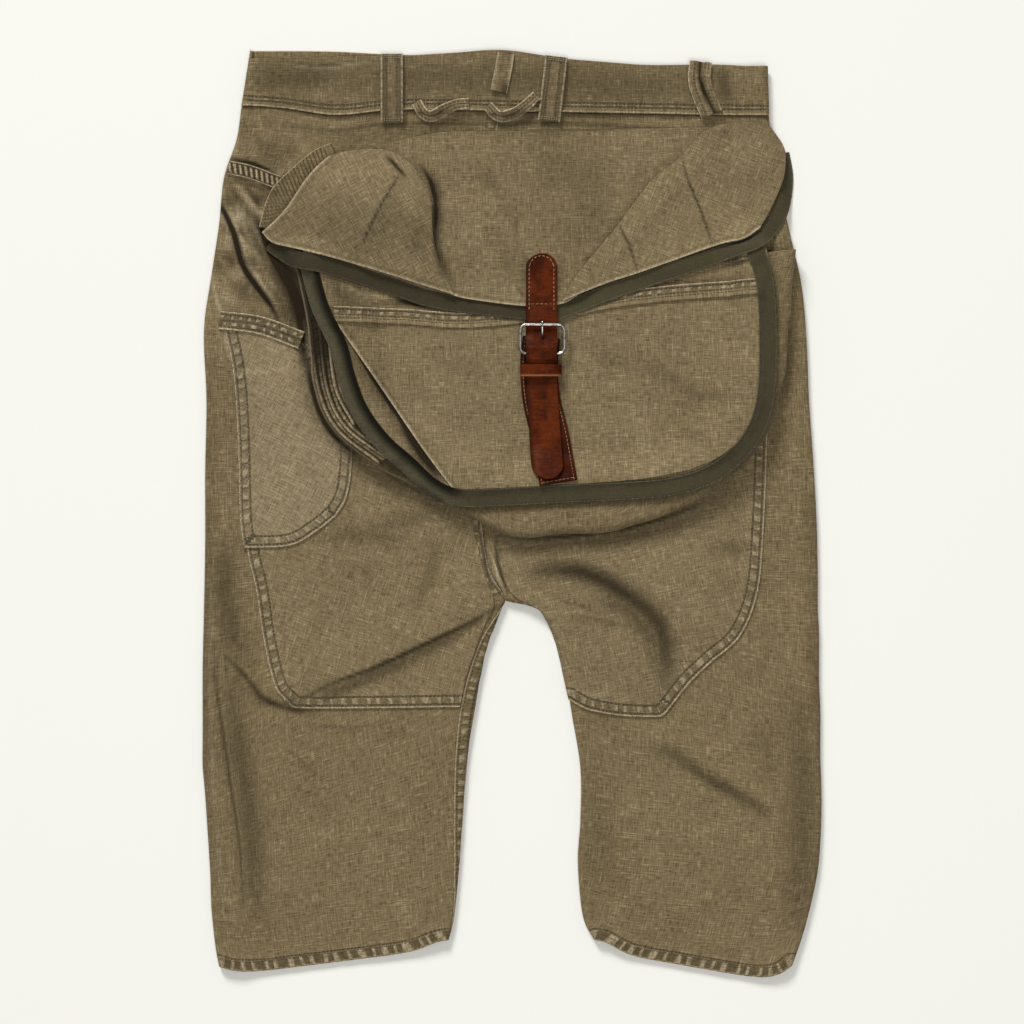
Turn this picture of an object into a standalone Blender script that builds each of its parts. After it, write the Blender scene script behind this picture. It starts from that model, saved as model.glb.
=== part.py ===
# Canvas shorts with a buckled bag on the seat, laid flat on the floor with the back upward.
# Tables and sizes are in millimetres in one frame: +X right, +Y to the waist, +Z up from the floor.
# Meshes are made in metres, and the whole object is centred on its own box at the end.
import math

import bpy
import bmesh
import numpy as np
from mathutils import Vector
from mathutils.bvhtree import BVHTree

MM = 0.001

# Cloth, leather and wire
PANEL = 1.4              # wall of the canvas panels
OVERLAY = 1.2            # patches, pockets and bag cloth
BAND = 2.2               # waistband, two layers pressed together
TAPE = 1.1               # binding tape
LEATHER = 2.2            # buckle strap
KEEPER = 1.5             # leather keeper loop
WIRE = 2.8               # buckle frame wire
GAP = 0.3                # air between neighbouring pieces
SEAM = 0.2               # half of the air between two panels at a seam
CLEAR = 0.62             # part of a wall that a slanted facet reaches below its middle

# Flattened body
FOLD_RADIUS = 3.3        # outer radius of the rolled side folds
MID_RADIUS = FOLD_RADIUS - PANEL / 2
ARC = MID_RADIUS * math.pi / 2
LAYER_AIR = 0.7          # air between the front and the back panel away from the folds
TURN_REACH = 16.0        # how near its inner edge a row turns to meet it squarely
FOLD_REACH = 24.0        # how far in from a side fold the air takes to close
SEAM_HIGH = 0.9          # chord of the side fold that holds the outseam, as runs round the fold
SEAM_LOW = -1.9
ROW_STEP = 23.0
COLUMN_COUNT = 12

MATERIALS = {
    "canvas": ((0.205, 0.165, 0.098, 1), 0.92, 0.0),
    "canvas_light": ((0.235, 0.190, 0.115, 1), 0.92, 0.0),
    "binding": ((0.082, 0.080, 0.052, 1), 0.85, 0.0),
    "leather": ((0.270, 0.075, 0.022, 1), 0.45, 0.0),
    "leather_dark": ((0.130, 0.035, 0.014, 1), 0.50, 0.0),
    "nickel": ((0.420, 0.410, 0.390, 1), 0.35, 1.0),
}

# Rows of a leg half from the waist seam to the hem: outer fold x and y, inner edge x and y,
# then how far in from the inner fold the inseam lies on the upper side.
LEFT_ROWS = (
    (-216, 325, -10, 321, 0), (-220, 298, -12, 290, 0), (-230, 268, -14, 250, 0),
    (-234, 230, -16, 210, 0), (-240, 190, -19, 170, 0), (-246, 146, -21, 130, 0),
    (-244, 90, -24, 82, 0), (-245, 34, -26, 34, 0), (-245, -22, -24, -6, 0),
    (-246, -78, -18, -44, 0), (-247, -124, -8, -62, 0), (-247, -160, -5, -70, 0),
    (-247, -171, -8, -77, 2), (-247, -182, -12, -88, 4), (-247, -202, -20, -110, 8),
    (-245, -226, -28, -150, 12),
    (-243, -256, -35, -196, 10), (-241, -288, -39, -246, 7), (-240, -316, -42, -286, 4),
    (-237, -345, -46, -324, 2), (-234, -362, -50, -341, 1),
)
RIGHT_ROWS = (
    (206, 317, -10, 321, 0), (208, 294, -12, 290, 0), (215, 258, -14, 250, 0),
    (224, 218, -16, 210, 0), (232, 182, -19, 170, 0), (236, 138, -21, 130, 0),
    (238, 90, -24, 82, 0), (241, 46, -26, 34, 0), (244, -6, -24, -6, 0),
    (245, -50, -18, -44, 0), (245, -76, -8, -62, 0), (246, -96, -5, -70, 0),
    (246, -114, 16, -75, -2), (246, -134, 29, -84, -6), (247, -160, 40, -108, -6),
    (247, -194, 48, -160, -6), (248, -230, 55, -204, -6), (247, -264, 55, -246, -6),
    (244, -292, 53, -280, -6), (235, -330, 57, -322, -6), (225, -360, 66, -341, -6),
)
LEFT_HEM_SAG = (9.0, 0.25)     # bow of the hem line below its chord, and how much of it is lost inward
RIGHT_HEM_SAG = (17.0, 0.5)
SAG_START = -200.0       # the bow fades out above this height
SAG_FULL = -341.0

# Large folds of the upper side: start, middle and end of the crest, its half width on the
# left of the run and on the right, and its height.
BODY_FOLDS = (
    ("thigh_drape", (-12, -72), (-89, -110), (-168, -149), 5, 34, 7.0),
    ("thigh_corner", (-164, -150), (-204, -143), (-230, -106), 5, 18, 3.6),
    ("left_side_roll", (-236, -60), (-238, -180), (-214, -330), 9, 9, 2.2),
    ("left_shin", (-184, -186), (-168, -206), (-152, -226), 7, 12, 1.8),
    ("right_seat_roll", (4, -41), (84, -44), (130, -120), 30, 9, 6.0),
    ("right_crotch", (30, -84), (64, -88), (98, -99), 9, 9, 2.6),
    ("right_thigh_bulge", (86, -92), (107, -118), (121, -150), 6, 24, 3.0),
    ("right_shin", (108, -177), (156, -205), (218, -239), 20, 7, 4.0),
    ("left_hip_overhang", (-226, 236), (-204, 190), (-176, 150), 14, 6, 6.0),
    ("left_side_line", (-236, 168), (-226, 104), (-216, 40), 8, 14, 2.4),
    ("right_side_roll", (226, 190), (236, 70), (232, -90), 16, 9, 2.0),
)

# Pattern outlines of the flat pieces sewn on the seat and legs
LEFT_PATCH = (
    (-30, 110), (-222, 110), (-217, 98), (-214, 50), (-212, -22), (-204, -62), (-198, -102),
    (-189, -138), (-179, -151), (-168, -156), (-105, -156), (-48, -154), (-46, -128), (-38, -108),
    (-26, -86), (-18, -70), (-20, -54), (-26, -30), (-31, 0),
)
RIGHT_PATCH = (
    (-18, 90), (-18, -6), (-12, -34), (4, -56), (22, -65), (36, -78), (46, -104), (54, -155),
    (63, -158),
    (87, -162), (115, -163), (128, -154), (143, -135), (160, -119), (183, -98), (197, -62),
    (202, -6), (204, 50), (205, 90),
)
HIP_POCKET = (
    (-214, 50), (-218, 110), (-229, 146), (-224, 151), (-201, 150), (-168, 139), (-150, 118),
    (-136, 92), (-128, 66), (-128, 34), (-137, 4), (-155, -14), (-177, -26), (-210, -29),
    (-212, -10),
)
HIP_HEM = ((-233, 154), (-201, 150), (-168, 138))
SIDE_YOKE = ((-226, 276), (-208, 272), (-186, 264))

# Waistband stations along x: top edge of the back band, top edge of the front band
WAIST_STATIONS = (
    (-196, 363.0, 369.5), (-172, 362.5, 369.5), (-138, 365.0, 369.0), (-100, 365.0, 367.0),
    (-50, 367.5, 366.0), (-8, 370.0, 367.0), (40, 363.5, 361.0), (75, 360.5, 358.0),
    (111, 358.0, 356.0), (160, 358.5, 356.0), (190, 357.0, 355.0),
)
WAIST_LEFT = (-216, 325, -209)    # seam x and y at the side, x of the top corner
WAIST_RIGHT = (206, 317, 205)
WAIST_CENTER = (-10, 321)
WAIST_DIP = (-140, 34, 6.0)       # place, half width and depth of the sag in the waist seam
BAND_FOLD = 3.9                   # outer radius of the band's side folds
BAND_LINES = (0.0, 0.25, 0.8, 1.0)
FINE = 4                          # places tested along a grid cell when a piece is laid down
RIM = 1.3                         # how far beyond its rim a piece is tested for what is below it

# Bag outlines: front, outer pocket and flap parts, each as top, bottom, left and right edges
BAG_FRONT = {
    "top": ((-168, 214), (-60, 240), (80, 244), (199, 226)),
    "bottom": ((-49, 8), (-20, 6), (39, 10), (103, 13), (150, 20), (166, 26)),
    "left": ((-168, 214), (-149, 170), (-136, 120), (-124, 78), (-98, 46), (-49, 8)),
    "right": ((199, 226), (208, 180), (211, 130), (208, 90), (196, 56), (166, 26)),
}
BAG_POCKET = {
    "top": ((-140, 152), (-89, 151), (-33, 148), (39, 156), (87, 166), (143, 172), (196, 175)),
    "bottom": ((-46, 18), (39, 22), (103, 27), (140, 34)),
    "left": ((-140, 152), (-104, 100), (-70, 50), (-46, 18)),
    "right": ((196, 175), (197, 100), (187, 66), (167, 46), (140, 34)),
}
BAG_BINDING = (
    (-162, 200), (-152, 164), (-138, 134), (-131, 108), (-121, 82), (-104, 58), (-82, 38),
    (-62, 20), (-40, 12), (0, 13), (39, 15), (100, 18), (128, 21), (155, 29), (174, 42),
    (189, 58), (199, 80), (203, 110), (203, 156), (200, 188), (192, 212),
)
POCKET_HEM = ((-141, 159), (-89, 158), (-33, 155), (39, 163), (87, 173), (143, 179), (196, 182))
FRONT_HEM = ((70, 186), (110, 194), (150, 201), (196, 207))
FLAP_MIDDLE = {
    "top": ((-122, 290), (-57, 304), (7, 305), (87, 307), (168, 308)),
    "bottom": ((-66, 173), (-30, 169), (11, 165), (39, 166), (64, 176)),
    "left": ((-122, 290), (-96, 250), (-80, 210), (-66, 173)),
    "right": ((168, 308), (140, 270), (96, 218), (64, 176)),
}
WING_LEFT = {
    "top": ((-146, 286), (-125, 293), (-105, 293), (-90, 288), (-79, 277)),
    "bottom": ((-191, 215), (-156, 206), (-124, 198), (-97, 190), (-46, 174)),
    "left": ((-146, 286), (-163, 263), (-182, 238), (-191, 215)),
    "right": ((-79, 277), (-65, 253), (-63, 226), (-58, 202), (-46, 174)),
}
EDGE_STRIP = ((-144, 290), (-168, 268), (-186, 242), (-194, 226))
WING_RIGHT = {
    "top": ((152, 304), (168, 310), (190, 312), (207, 308)),
    "bottom": ((41, 169), (75, 183), (103, 192), (162, 213), (184, 218), (198, 227)),
    "left": ((152, 304), (132, 282), (112, 266), (84, 229), (52, 190), (41, 169)),
    "right": ((207, 308), (217, 294), (219, 281), (216, 264), (207, 243), (198, 227)),
}
WING_PUFF = (-118, 44, 244, 34, 9, 17)     # middle and half width along x and y, level and crown
FLAP_TAPE_LEFT = ((-192, 212), (-169, 201), (-142, 195), (-96, 181), (-57, 169), (6, 160))
FLAP_TAPE_RIGHT = (
    (42, 162), (75, 175), (118, 190), (171, 208), (194, 216), (208, 229), (216, 246), (219, 268),
    (216, 288),
)

# Gusset stations round the bag: the outer fold x and y, the bag front's edge x and y, and the
# height of the fold
GUSSET_ROWS = (
    (-180, 214, -150, 206, 5.5), (-171, 190, -139, 182, 5.5), (-163, 150, -128, 142, 6.0),
    (-157, 100, -120, 98, 6.0), (-142, 66, -108, 74, 6.0), (-108, 38, -84, 54, 6.0),
    (-58, 12, -44, 30, 7.0), (-2, -18, -2, 14, 9.0), (39, -17, 39, 16, 9.0),
    (87, -13, 90, 18, 9.0), (140, 6, 132, 26, 9.0), (176, 30, 160, 42, 9.0),
    (204, 64, 186, 72, 9.0), (218, 112, 196, 112, 10.0), (221, 150, 198, 150, 10.0),
    (224, 182, 198, 182, 10.0), (226, 210, 196, 206, 9.0),
)
GUSSET_STEP = 25.0
GUSSET_INSIDE = -9.0     # how far the gusset runs in under the bag front
GUSSET_FEEL = 14.0       # how far round a place the gusset looks for what it lies on
GUSSET_LEAST = 0.5       # least air between its two layers at the inner edge
PLEAT_STEPS = ((0, 5), (0, 5), (0, 4))          # first and last gusset row of each pleat
PLEAT_INSET = 5.5
PLEAT_WIDTH = 17.0
PLEAT_LINES = (0, 0.12, 0.5, 1)
PLEAT_WALL = 2.4

# Strap and buckle
STRAP_LINE = ((24, 207), (24, 176), (24, 150), (24, 126), (24.5, 100), (27, 60), (29.5, 27))
STRAP_HALF = 12.2
UNDER_LINE = ((24, 140), (22, 118), (24, 90), (31, 60), (37, 24))
UNDER_HALF = 15.0
BUCKLE_X = 24.5
BUCKLE_TOP = 150.0
BUCKLE_LOW = 127.0
BUCKLE_HALF = 17.6
BUCKLE_CORNER = 5.0
BUCKLE_FEEL = 9.0        # how far round the bars the buckle looks for what it lies on
BAR_SLACK = 6.0          # length of strap raised on each side of the low bar
PRONG = 1.8              # prong wire
PRONG_Y = (139.5, 144.0, 150.0, 153.0)
PRONG_FEEL = 7.0
KEEPER_X = 23.5
KEEPER_Y = 113.5
KEEPER_WIDTH = 9.0
KEEPER_HALF = 15.6
KEEPER_DROPS = ((0.0, 2.6), (0.6, 1.0), (3.0, 0.2), (8.0, 0.0))    # inset from the end, drop

# Belt loops: top x, bottom x, top y, bottom y
LOOPS = {
    "belt_loop_left": (-95.5, -95.5, 366.5, 312.0),
    "belt_loop_center": (36.0, 30.0, 364.5, 313.0),
}
LOOP_TWISTED = ((151, 360), (150, 346), (154, 332), (160, 318))
HANGER = ((-4, 367), (-7, 350), (-10, 336))
TABS = {
    "tie_tab_left": ((-82, 325), (-74, 316), (-64, 319), (-52, 327), (-38, 330)),
    "tie_tab_right": ((-19, 325), (-10, 317), (2, 319), (12, 326), (20, 333)),
}
LOOP_WIDTH = 17.0
LOOP_WALL = 1.8
LOOP_CROWN = 8.2         # level of a loop's middle, which bows off the band
LOOP_BOW = 2.2


def clear_scene():
    for item in list(bpy.data.objects):
        bpy.data.objects.remove(item, do_unlink=True)


def make_collection(name):
    collection = bpy.data.collections.new(name)
    bpy.context.scene.collection.children.link(collection)
    return collection


def make_material(name):
    colour, roughness, metallic = MATERIALS[name]
    material = bpy.data.materials.new(name)
    material.use_nodes = True
    shader = material.node_tree.nodes["Principled BSDF"]
    shader.inputs["Base Color"].default_value = colour
    shader.inputs["Roughness"].default_value = roughness
    shader.inputs["Metallic"].default_value = metallic
    material.diffuse_color = colour
    return material


def smooth_rows(rows, step):
    # A Catmull-Rom curve through table rows, with a row about every step along its longest track
    rows = np.array(rows, float)
    ends = np.vstack([2 * rows[0] - rows[1], rows, 2 * rows[-1] - rows[-2]])
    tracks = [(0, 1)] if rows.shape[1] < 4 else [(0, 1), (2, 3)]
    out = []
    for index in range(1, len(ends) - 2):
        before, start, stop, after = ends[index - 1 : index + 3]
        run = max(math.dist(start[[a, b]], stop[[a, b]]) for a, b in tracks)
        for part in range(max(1, round(run / step))):
            t = part / max(1, round(run / step))
            out.append(
                0.5 * (2 * start + (stop - before) * t
                + (2 * before - 5 * start + 4 * stop - after) * t * t
                + (3 * start - before - 3 * stop + after) * t ** 3)
            )
    out.append(rows[-1])
    return np.array(out)


def smooth_line(points, count):
    # The same curve with count points at even distances
    fine = smooth_rows(points, 2.0)
    run = np.concatenate([[0], np.cumsum(np.linalg.norm(np.diff(fine, axis=0), axis=1))])
    marks = np.linspace(0, run[-1], count)
    return np.stack([np.interp(marks, run, fine[:, k]) for k in range(fine.shape[1])], axis=1)


def crest(x, y, line, left, right, height):
    # Height of one fold at arrays of places: a soft ridge along a bent run, tapered to its ends
    best = np.full(np.shape(x), 1e9)
    along = np.zeros(np.shape(x))
    side = np.zeros(np.shape(x))
    for k in range(len(line) - 1):
        a, b = line[k], line[k + 1]
        d = b - a
        t = np.clip(((x - a[0]) * d[0] + (y - a[1]) * d[1]) / (d @ d), 0, 1)
        px, py = x - a[0] - t * d[0], y - a[1] - t * d[1]
        gap = np.hypot(px, py)
        near = gap < best
        best = np.where(near, gap, best)
        along = np.where(near, (k + t) / (len(line) - 1), along)
        side = np.where(near, d[0] * py - d[1] * px, side)
    width = np.where(side > 0, left, right)
    taper = 1 - np.abs(2 * along - 1) ** 3
    return height * taper * np.exp(-((best / width) ** 2))


FOLD_LINES = [(smooth_line(row[1:4], 11), *row[4:]) for row in BODY_FOLDS]


def body_relief(x, y):
    x, y = np.asarray(x, float), np.asarray(y, float)
    total = np.zeros(x.shape)
    for line, left, right, height in FOLD_LINES:
        total = total + crest(x, y, line, left, right, height)
    return total


def waist_dip(x, y):
    place, half, depth = WAIST_DIP
    return -depth * np.exp(-(((x - place) / half) ** 2)) * np.clip((y - 270) / 55, 0, 1)


class Row:
    # One row of a flattened leg half: a section from the outer fold to the inner edge
    def __init__(self, values, sag, track):
        self.outer = np.array(values[0:2])
        self.inner = np.array(values[2:4])
        self.wrap = values[4]
        self.length = math.dist(self.outer, self.inner)
        self.way = (self.inner - self.outer) / self.length
        square = np.array((track[1], -track[0])) / math.hypot(*track)
        self.inward = square if square @ self.way < 0 else -square
        low = np.clip((SAG_START - self.inner[1]) / (SAG_START - SAG_FULL), 0, 1)
        self.sag, self.lean = sag[0] * low * low, sag[1]
        close = np.clip((-self.inner[1] - 34) / 36, 0, 1)
        self.close = close * close * (3 - 2 * close)

    def place(self, s, dip=True):
        t = np.clip(s / self.length, 0, 1)
        # The line of the row bends near its inner end to meet the edge there squarely
        far = self.length - np.asarray(s)[:, None]
        bend = np.exp(-((far / TURN_REACH) ** 2))
        xy = self.inner + far * ((1 - bend) * -self.way + bend * self.inward)
        xy[:, 1] -= self.sag * (1 - self.lean * t) * (1 - np.abs(2 * t - 1) ** 6)
        if dip:
            xy[:, 1] += waist_dip(xy[:, 0], xy[:, 1])
        return xy

    def top(self, s):
        # Middle of the back panel's wall
        xy = self.place(s)
        flat = PANEL * 1.5 + LAYER_AIR
        rise = FOLD_RADIUS + MID_RADIUS - flat
        near = s - FOLD_RADIUS
        far = self.length - FOLD_RADIUS - s
        edge = np.exp(-((near / FOLD_REACH) ** 2)) + self.close * np.exp(-((far / FOLD_REACH) ** 2))
        fade = 1 - np.exp(-((np.maximum(near, 0) / 7) ** 2))
        fade *= 1 - self.close * np.exp(-((np.maximum(far, 0) / 7) ** 2))
        return flat + rise * np.minimum(edge, 1) + fade * body_relief(xy[:, 0], xy[:, 1])

    def outer_arc(self, run):
        # run is the distance round the outer fold from its outermost line, upward positive
        angle = run / MID_RADIUS
        return FOLD_RADIUS - MID_RADIUS * math.cos(angle), FOLD_RADIUS + MID_RADIUS * math.sin(angle)

    def inner_turn(self, run):
        # run is the distance over the wall from the inner edge: upward and outward positive
        turn = self.close * math.pi / 2
        reach = (FOLD_RADIUS + SEAM) * math.sin(turn)
        arc = MID_RADIUS * turn
        if abs(run) < arc:
            angle = math.pi / 2 - turn + abs(run) / MID_RADIUS
            s = self.length - reach + MID_RADIUS * math.cos(angle) * (1 if turn > 0 else 0)
            drop = MID_RADIUS * (1 - math.sin(angle))
        else:
            s = self.length - reach - (abs(run) - arc)
            drop = 0.0
        if run >= 0:
            return s, float(self.top(np.array([min(s, self.length)]))[0]) - drop
        return s, PANEL / 2 + drop


def half_rows(table, sag):
    rows = smooth_rows(table, ROW_STEP)
    tracks = np.gradient(rows[:, 2:4], axis=0)
    return [Row(values, sag, track) for values, track in zip(rows, tracks)]


def between(a, b, air):
    # The two ends of a seam halfway along the chord from a to b
    a, b = np.array(a), np.array(b)
    half = (b - a) * (0.5 - air / math.dist(a, b))
    return tuple(a + half), tuple(b - half)


def section_points(row, pairs, dip):
    s = np.array([pair[0] for pair in pairs])
    xy = row.place(s, dip)
    return [(xy[k, 0], xy[k, 1], pairs[k][1]) for k in range(len(pairs))]


def seam_run(row):
    # Distance of the inseam round the inner fold from its innermost line, upward positive
    if row.close < 1:
        return 0.0
    return row.wrap + (ARC - FOLD_RADIUS if row.wrap > FOLD_RADIUS else 0)


def seam_air(row):
    # Half of the air at the inseam, wider where the seam lies on the round of the fold
    return SEAM + (0.6 * row.close if abs(seam_run(row)) < ARC + 4 else 0)


def back_section(row):
    high, low = row.outer_arc(SEAM_HIGH), row.outer_arc(SEAM_LOW)
    pairs = [between(high, low, SEAM)[0], high, row.outer_arc(2.9)]
    end = seam_run(row) + seam_air(row)
    stop = max(end, 0) + 5.0
    for s in np.linspace(FOLD_RADIUS, row.length - stop, COLUMN_COUNT):
        pairs.append((s, float(row.top(np.array([s]))[0])))
    for run in np.linspace(stop, end, 5 if end < -ARC else 4)[1:]:
        pairs.append(row.inner_turn(run))
    return section_points(row, pairs, True)


def front_section(row):
    high, low = row.outer_arc(SEAM_HIGH), row.outer_arc(SEAM_LOW)
    pairs = [between(high, low, SEAM)[1], low, row.outer_arc(-3.2)]
    end = seam_run(row) - seam_air(row)
    for s in np.linspace(FOLD_RADIUS + 1, row.length - 11, 3):
        pairs.append((s, PANEL / 2))
    for run in np.linspace(-7.5, end, 8):
        pairs.append(row.inner_turn(run))
    return section_points(row, pairs, False)


def grid_mesh(name, grid):
    # An open sheet through a grid of points in millimetres, in triangles so that copies of it
    # moved out bend along the same lines
    builder = bmesh.new()
    points = [[builder.verts.new(Vector(p) * MM) for p in line] for line in grid]
    for i in range(len(grid) - 1):
        for j in range(len(grid[0]) - 1):
            builder.faces.new((points[i][j], points[i + 1][j], points[i + 1][j + 1]))
            builder.faces.new((points[i][j], points[i + 1][j + 1], points[i][j + 1]))
    bmesh.ops.remove_doubles(builder, verts=builder.verts, dist=0.00002)
    builder.normal_update()
    if sum(face.normal.z * face.calc_area() for face in builder.faces) < 0:
        bmesh.ops.reverse_faces(builder, faces=builder.faces)
    mesh = bpy.data.meshes.new(name)
    builder.to_mesh(mesh)
    builder.free()
    return mesh


class Workshop:
    # Keeps the collections, the materials and the pieces that later pieces rest on
    def __init__(self):
        self.parts = make_collection("canvas_shorts")
        self.cutters = make_collection("cutters")
        self.materials = {name: make_material(name) for name in MATERIALS}
        self.trees = []

    def add(self, name, mesh, material, wall):
        piece = bpy.data.objects.new(name, mesh)
        self.parts.objects.link(piece)
        mesh.materials.append(self.materials[material])
        mesh.shade_smooth()
        solid = piece.modifiers.new("wall", "SOLIDIFY")
        solid.thickness = wall * MM
        solid.offset = 0.0
        return piece

    def carry(self, piece):
        # The piece becomes something that later pieces may rest on
        bpy.context.view_layer.update()
        graph = bpy.context.evaluated_depsgraph_get()
        tree = BVHTree.FromObject(piece, graph)
        made = piece.evaluated_get(graph).to_mesh()
        box = np.array([vertex.co for vertex in made.vertices])
        self.trees.append((tree, box.min(axis=0), box.max(axis=0)))
        return piece

    def height(self, x, y):
        # The highest surface made so far over one place, in millimetres
        best = 0.0
        px, py = x * MM, y * MM
        for tree, low, high in self.trees:
            if low[0] <= px <= high[0] and low[1] <= py <= high[1] and high[2] > best * MM:
                hit = tree.ray_cast(Vector((px, py, 1.0)), Vector((0, 0, -1)))
                if hit[0] is not None:
                    best = max(best, hit[0].z / MM)
        return best

    def support(self, x, y, reach):
        found = [self.height(x, y)]
        for ring in (0.3, 0.6, 1.0):
            for k in range(8):
                angle = k * math.pi / 4
                found.append(self.height(x + ring * reach * math.cos(angle),
                                         y + ring * reach * math.sin(angle)))
        return max(found)

    def ground(self, fine):
        # Height below each place of a grid, and just beyond its rim for the thickness of the edge
        found = np.array([[self.height(*p) for p in line] for line in fine])
        for rim, inner in ((0, 1), (-1, -2)):
            for k in range(fine.shape[1]):
                out = fine[rim, k] - fine[inner, k]
                out = fine[rim, k] + out * RIM / max(np.hypot(*out), 1e-6)
                found[rim, k] = max(found[rim, k], self.height(*out))
            for k in range(fine.shape[0]):
                out = fine[k, rim] - fine[k, inner]
                out = fine[k, rim] + out * RIM / max(np.hypot(*out), 1e-6)
                found[k, rim] = max(found[k, rim], self.height(*out))
        return pool(found, 1, 1)

    def rest(self, flat, wall, puff=None, rounds=3):
        # Lays a grid of x, y places on what is below it, with the wall's middle just clear
        flat = np.array(flat)
        ground = self.ground(spread(flat, FINE))
        z = pool(ground, FINE, FINE // 2) + GAP + wall / 2
        if puff is not None:
            z = np.maximum(z, np.array([[puff(p[0], p[1]) for p in line] for line in flat]))
        lowest = pool(ground, FINE, 0) + GAP + wall / 2
        for turn in range(rounds + 5):
            if turn < rounds:
                wide = np.pad(z, 1, mode="edge")
                mean = (wide[:-2, 1:-1] + wide[2:, 1:-1] + wide[1:-1, :-2] + wide[1:-1, 2:]) / 4
                z = np.maximum(lowest, mean)
            sheet = np.dstack([flat, z])
            normal = np.cross(np.gradient(sheet, axis=0), np.gradient(sheet, axis=1))
            tilt = np.linalg.norm(normal, axis=2) / np.abs(normal[:, :, 2])
            lift = GAP + wall * 0.54 * np.minimum(tilt, 3)
            short = ground + spread((lift - z)[:, :, None], FINE)[:, :, 0]
            z = z + np.maximum(pool(short, FINE, FINE - 1), 0)
        return [[(*flat[i, j], z[i, j]) for j in range(flat.shape[1])] for i in range(flat.shape[0])]


def spread(grid, times):
    # The grid with straight in-between points along both ways
    rows = np.linspace(0, len(grid) - 1, (len(grid) - 1) * times + 1)
    low = np.minimum(rows.astype(int), len(grid) - 2)
    part = (rows - low)[:, None, None]
    grid = grid[low] * (1 - part) + grid[low + 1] * part
    columns = np.linspace(0, grid.shape[1] - 1, (grid.shape[1] - 1) * times + 1)
    low = np.minimum(columns.astype(int), grid.shape[1] - 2)
    part = (columns - low)[None, :, None]
    return grid[:, low] * (1 - part) + grid[:, low + 1] * part


def pool(fine, times, reach):
    # The largest fine value within reach of each coarse point
    wide = np.pad(fine, reach, mode="edge")
    out = None
    for i in range(2 * reach + 1):
        for j in range(2 * reach + 1):
            part = wide[i : i + fine.shape[0], j : j + fine.shape[1]][::times, ::times]
            out = part if out is None else np.maximum(out, part)
    return out


def patch_grid(edges, rows, columns):
    # A grid filling four edge curves, as the blend of the lines between opposite edges
    top = smooth_line(edges["top"], columns)
    bottom = smooth_line(edges["bottom"], columns)
    left = smooth_line(edges["left"], rows)
    right = smooth_line(edges["right"], rows)
    out = []
    for i in range(rows):
        v = i / (rows - 1)
        line = []
        for j in range(columns):
            u = j / (columns - 1)
            across = (1 - v) * top[j] + v * bottom[j] + (1 - u) * left[i] + u * right[i]
            corner = ((1 - v) * ((1 - u) * top[0] + u * top[-1])
                      + v * ((1 - u) * bottom[0] + u * bottom[-1]))
            line.append(tuple(across - corner))
        out.append(line)
    return out


def strip_grid(line, half, count, across=3):
    # A grid along a line, with its width laid out square to the run
    path = smooth_line(line, count)
    run = np.gradient(path, axis=0)
    run /= np.linalg.norm(run, axis=1)[:, None]
    square = np.stack([-run[:, 1], run[:, 0]], axis=1)
    return [[tuple(path[i] + square[i] * half * k) for k in np.linspace(-1, 1, across)]
            for i in range(count)]


def build_body(shop):
    backs = {}
    tables = (("left", LEFT_ROWS, LEFT_HEM_SAG), ("right", RIGHT_ROWS, RIGHT_HEM_SAG))
    for side, table, sag in tables:
        rows = half_rows(table, sag)
        back = [back_section(row) for row in rows]
        front = [front_section(row) for row in rows]
        backs[side] = grid_mesh(f"back_{side}", back)
        shop.carry(shop.add(f"front_{side}", grid_mesh(f"front_{side}", front), "canvas", PANEL))
        shop.carry(shop.add(f"back_{side}", backs[side].copy(), "canvas", PANEL))
    return backs


def waist_line(x, dip):
    # The waist seam: two straight runs that meet at centre back, with the dip on the upper side
    side = WAIST_LEFT if x < WAIST_CENTER[0] else WAIST_RIGHT
    t = (x - side[0]) / (WAIST_CENTER[0] - side[0])
    y = side[1] + t * (WAIST_CENTER[1] - side[1])
    return y + (float(waist_dip(np.array(x), np.array(y))) if dip else 0)


def band_grid(column, back):
    # A waistband layer: lines along x from one side fold to the other
    stations = smooth_rows([(row[0], row[column]) for row in WAIST_STATIONS], 22.0)
    mid = BAND_FOLD - BAND / 2
    level = BAND * 1.5 + LAYER_AIR if back else BAND / 2
    runs = (SEAM_HIGH, 3.0) if back else (SEAM_LOW, -3.2)
    grid = []
    for part in BAND_LINES:
        line = []
        for side, sign in ((WAIST_LEFT, 1), (WAIST_RIGHT, -1)):
            edge = side[0] + part * (side[2] - side[0])
            top = stations[0 if sign > 0 else -1][1]
            round_points = []
            for run in (SEAM_HIGH, SEAM_LOW) + runs:
                angle = run / mid
                round_points.append((BAND_FOLD - mid * math.cos(angle), BAND_FOLD + mid * math.sin(angle)))
            ends = between(round_points[0], round_points[1], SEAM)
            fold = []
            for inset, z in [ends[0] if back else ends[1]] + round_points[2:]:
                x = edge + sign * inset
                low = waist_line(x, back) + GAP + SEAM
                fold.append((x, low + part * (top - low), z))
            if sign > 0:
                line.extend(fold)
                for x, crown in stations:
                    low = waist_line(x, back) + GAP + SEAM
                    near = min(x - WAIST_LEFT[0], WAIST_RIGHT[0] - x) - BAND_FOLD
                    rise = (BAND_FOLD + mid - level) * math.exp(-((near / 14) ** 2)) if back else 0
                    line.append((x, low + part * (crown - low), level + rise))
            else:
                line.extend(reversed(fold))
        grid.append(line)
    return grid


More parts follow.
